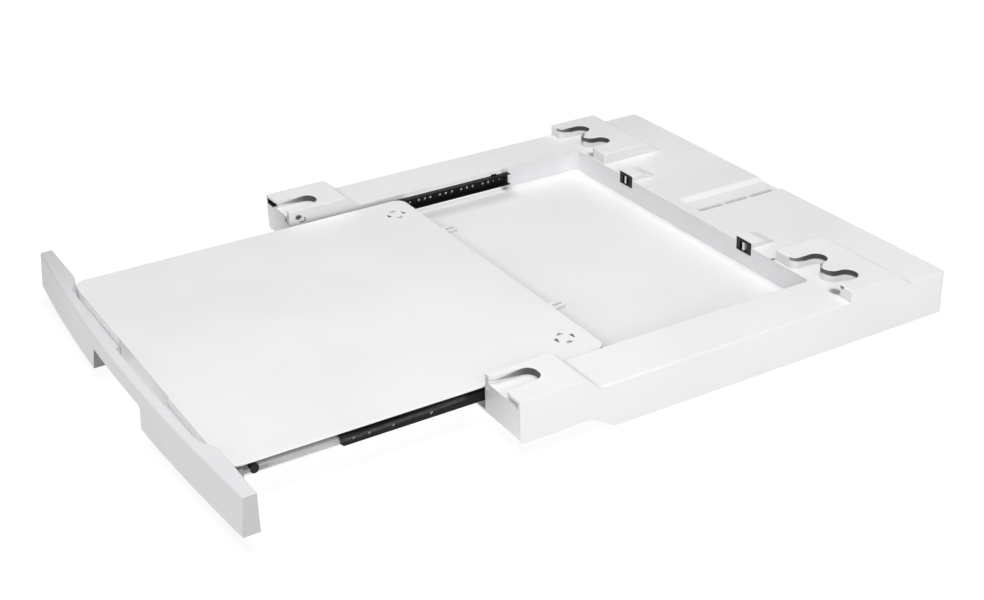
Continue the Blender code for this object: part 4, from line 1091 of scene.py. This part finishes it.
class KIT_OT_stage(bpy.types.Operator):
    """Put the camera, the floor and the studio lights in place"""

    bl_idname = "kit.stage"
    bl_label = "Stage"

    def execute(self, context):
        settings = context.scene.kit_stage
        scene = context.scene
        scene.camera = camera(settings)
        scene.view_settings.view_transform = "Standard"

        world = bpy.data.worlds.new("studio")
        world.use_nodes = True
        sky = world.node_tree.nodes["Background"].inputs
        sky["Color"].default_value = (1.0, 1.0, 1.0, 1.0)
        sky["Strength"].default_value = settings.sky
        scene.world = world

        for name, place, target, width in LIGHTS:
            area_light(name, place, target, width, getattr(settings, name))

        paint = Finish("floor_paper", {"Base Color": FLOOR_COLOUR, "Roughness": 0.9})
        vector, _ = paint.place()
        away = paint.node("ShaderNodeVectorMath", {"operation": "LENGTH"}, {0: vector}, output=1)
        paint.glow(away.ramp(*GLOW_RUN), 1.0, settings.glow)
        mesh = bpy.data.meshes.new("floor")
        corners = ((-1, -1), (1, -1), (1, 1), (-1, 1))
        points = [(x * FLOOR_REACH, y * FLOOR_REACH, CAD_BOX[0].z) for x, y in corners]
        mesh.from_pydata(points, [], [(0, 1, 2, 3)])
        mesh.materials.append(paint.material)
        floor = bpy.data.objects.new("floor", mesh)
        scene.collection.objects.link(floor)
        return {"FINISHED"}


STEPS = (
    KIT_OT_tray,
    KIT_OT_shelf,
    KIT_OT_fascia,
    KIT_OT_slides,
    KIT_OT_screws,
    KIT_OT_catches,
    KIT_OT_stage,
)


class KIT_PT_panel(bpy.types.Panel):
    bl_idname = "KIT_PT_panel"
    bl_label = "Stacking kit"
    bl_space_type = "VIEW_3D"
    bl_region_type = "UI"
    bl_category = "Stacking kit"

    def draw(self, context):
        for step in STEPS:
            self.layout.operator(step.bl_idname)
        for group in (context.scene.kit_plastic, context.scene.kit_slides, context.scene.kit_stage):
            for name in group.__annotations__:
                self.layout.prop(group, name)


GROUPS = {
    "kit_plastic": KitPlasticSettings,
    "kit_slides": KitSlideSettings,
    "kit_stage": KitStageSettings,
}


def register():
    for group in GROUPS.values():
        bpy.utils.register_class(group)
    for step in (*STEPS, KIT_PT_panel):
        bpy.utils.register_class(step)
    for name, group in GROUPS.items():
        setattr(bpy.types.Scene, name, bpy.props.PointerProperty(type=group))


def unregister():
    for name in GROUPS:
        delattr(bpy.types.Scene, name)
    for step in (*STEPS, KIT_PT_panel):
        bpy.utils.unregister_class(step)
    for group in GROUPS.values():
        bpy.utils.unregister_class(group)


def main():
    register()
    bpy.ops.kit.tray()
    bpy.ops.kit.shelf()
    bpy.ops.kit.fascia()
    bpy.ops.kit.slides()
    bpy.ops.kit.screws()
    bpy.ops.kit.catches()
    bpy.ops.kit.stage()


if __name__ == "__main__":
    main()
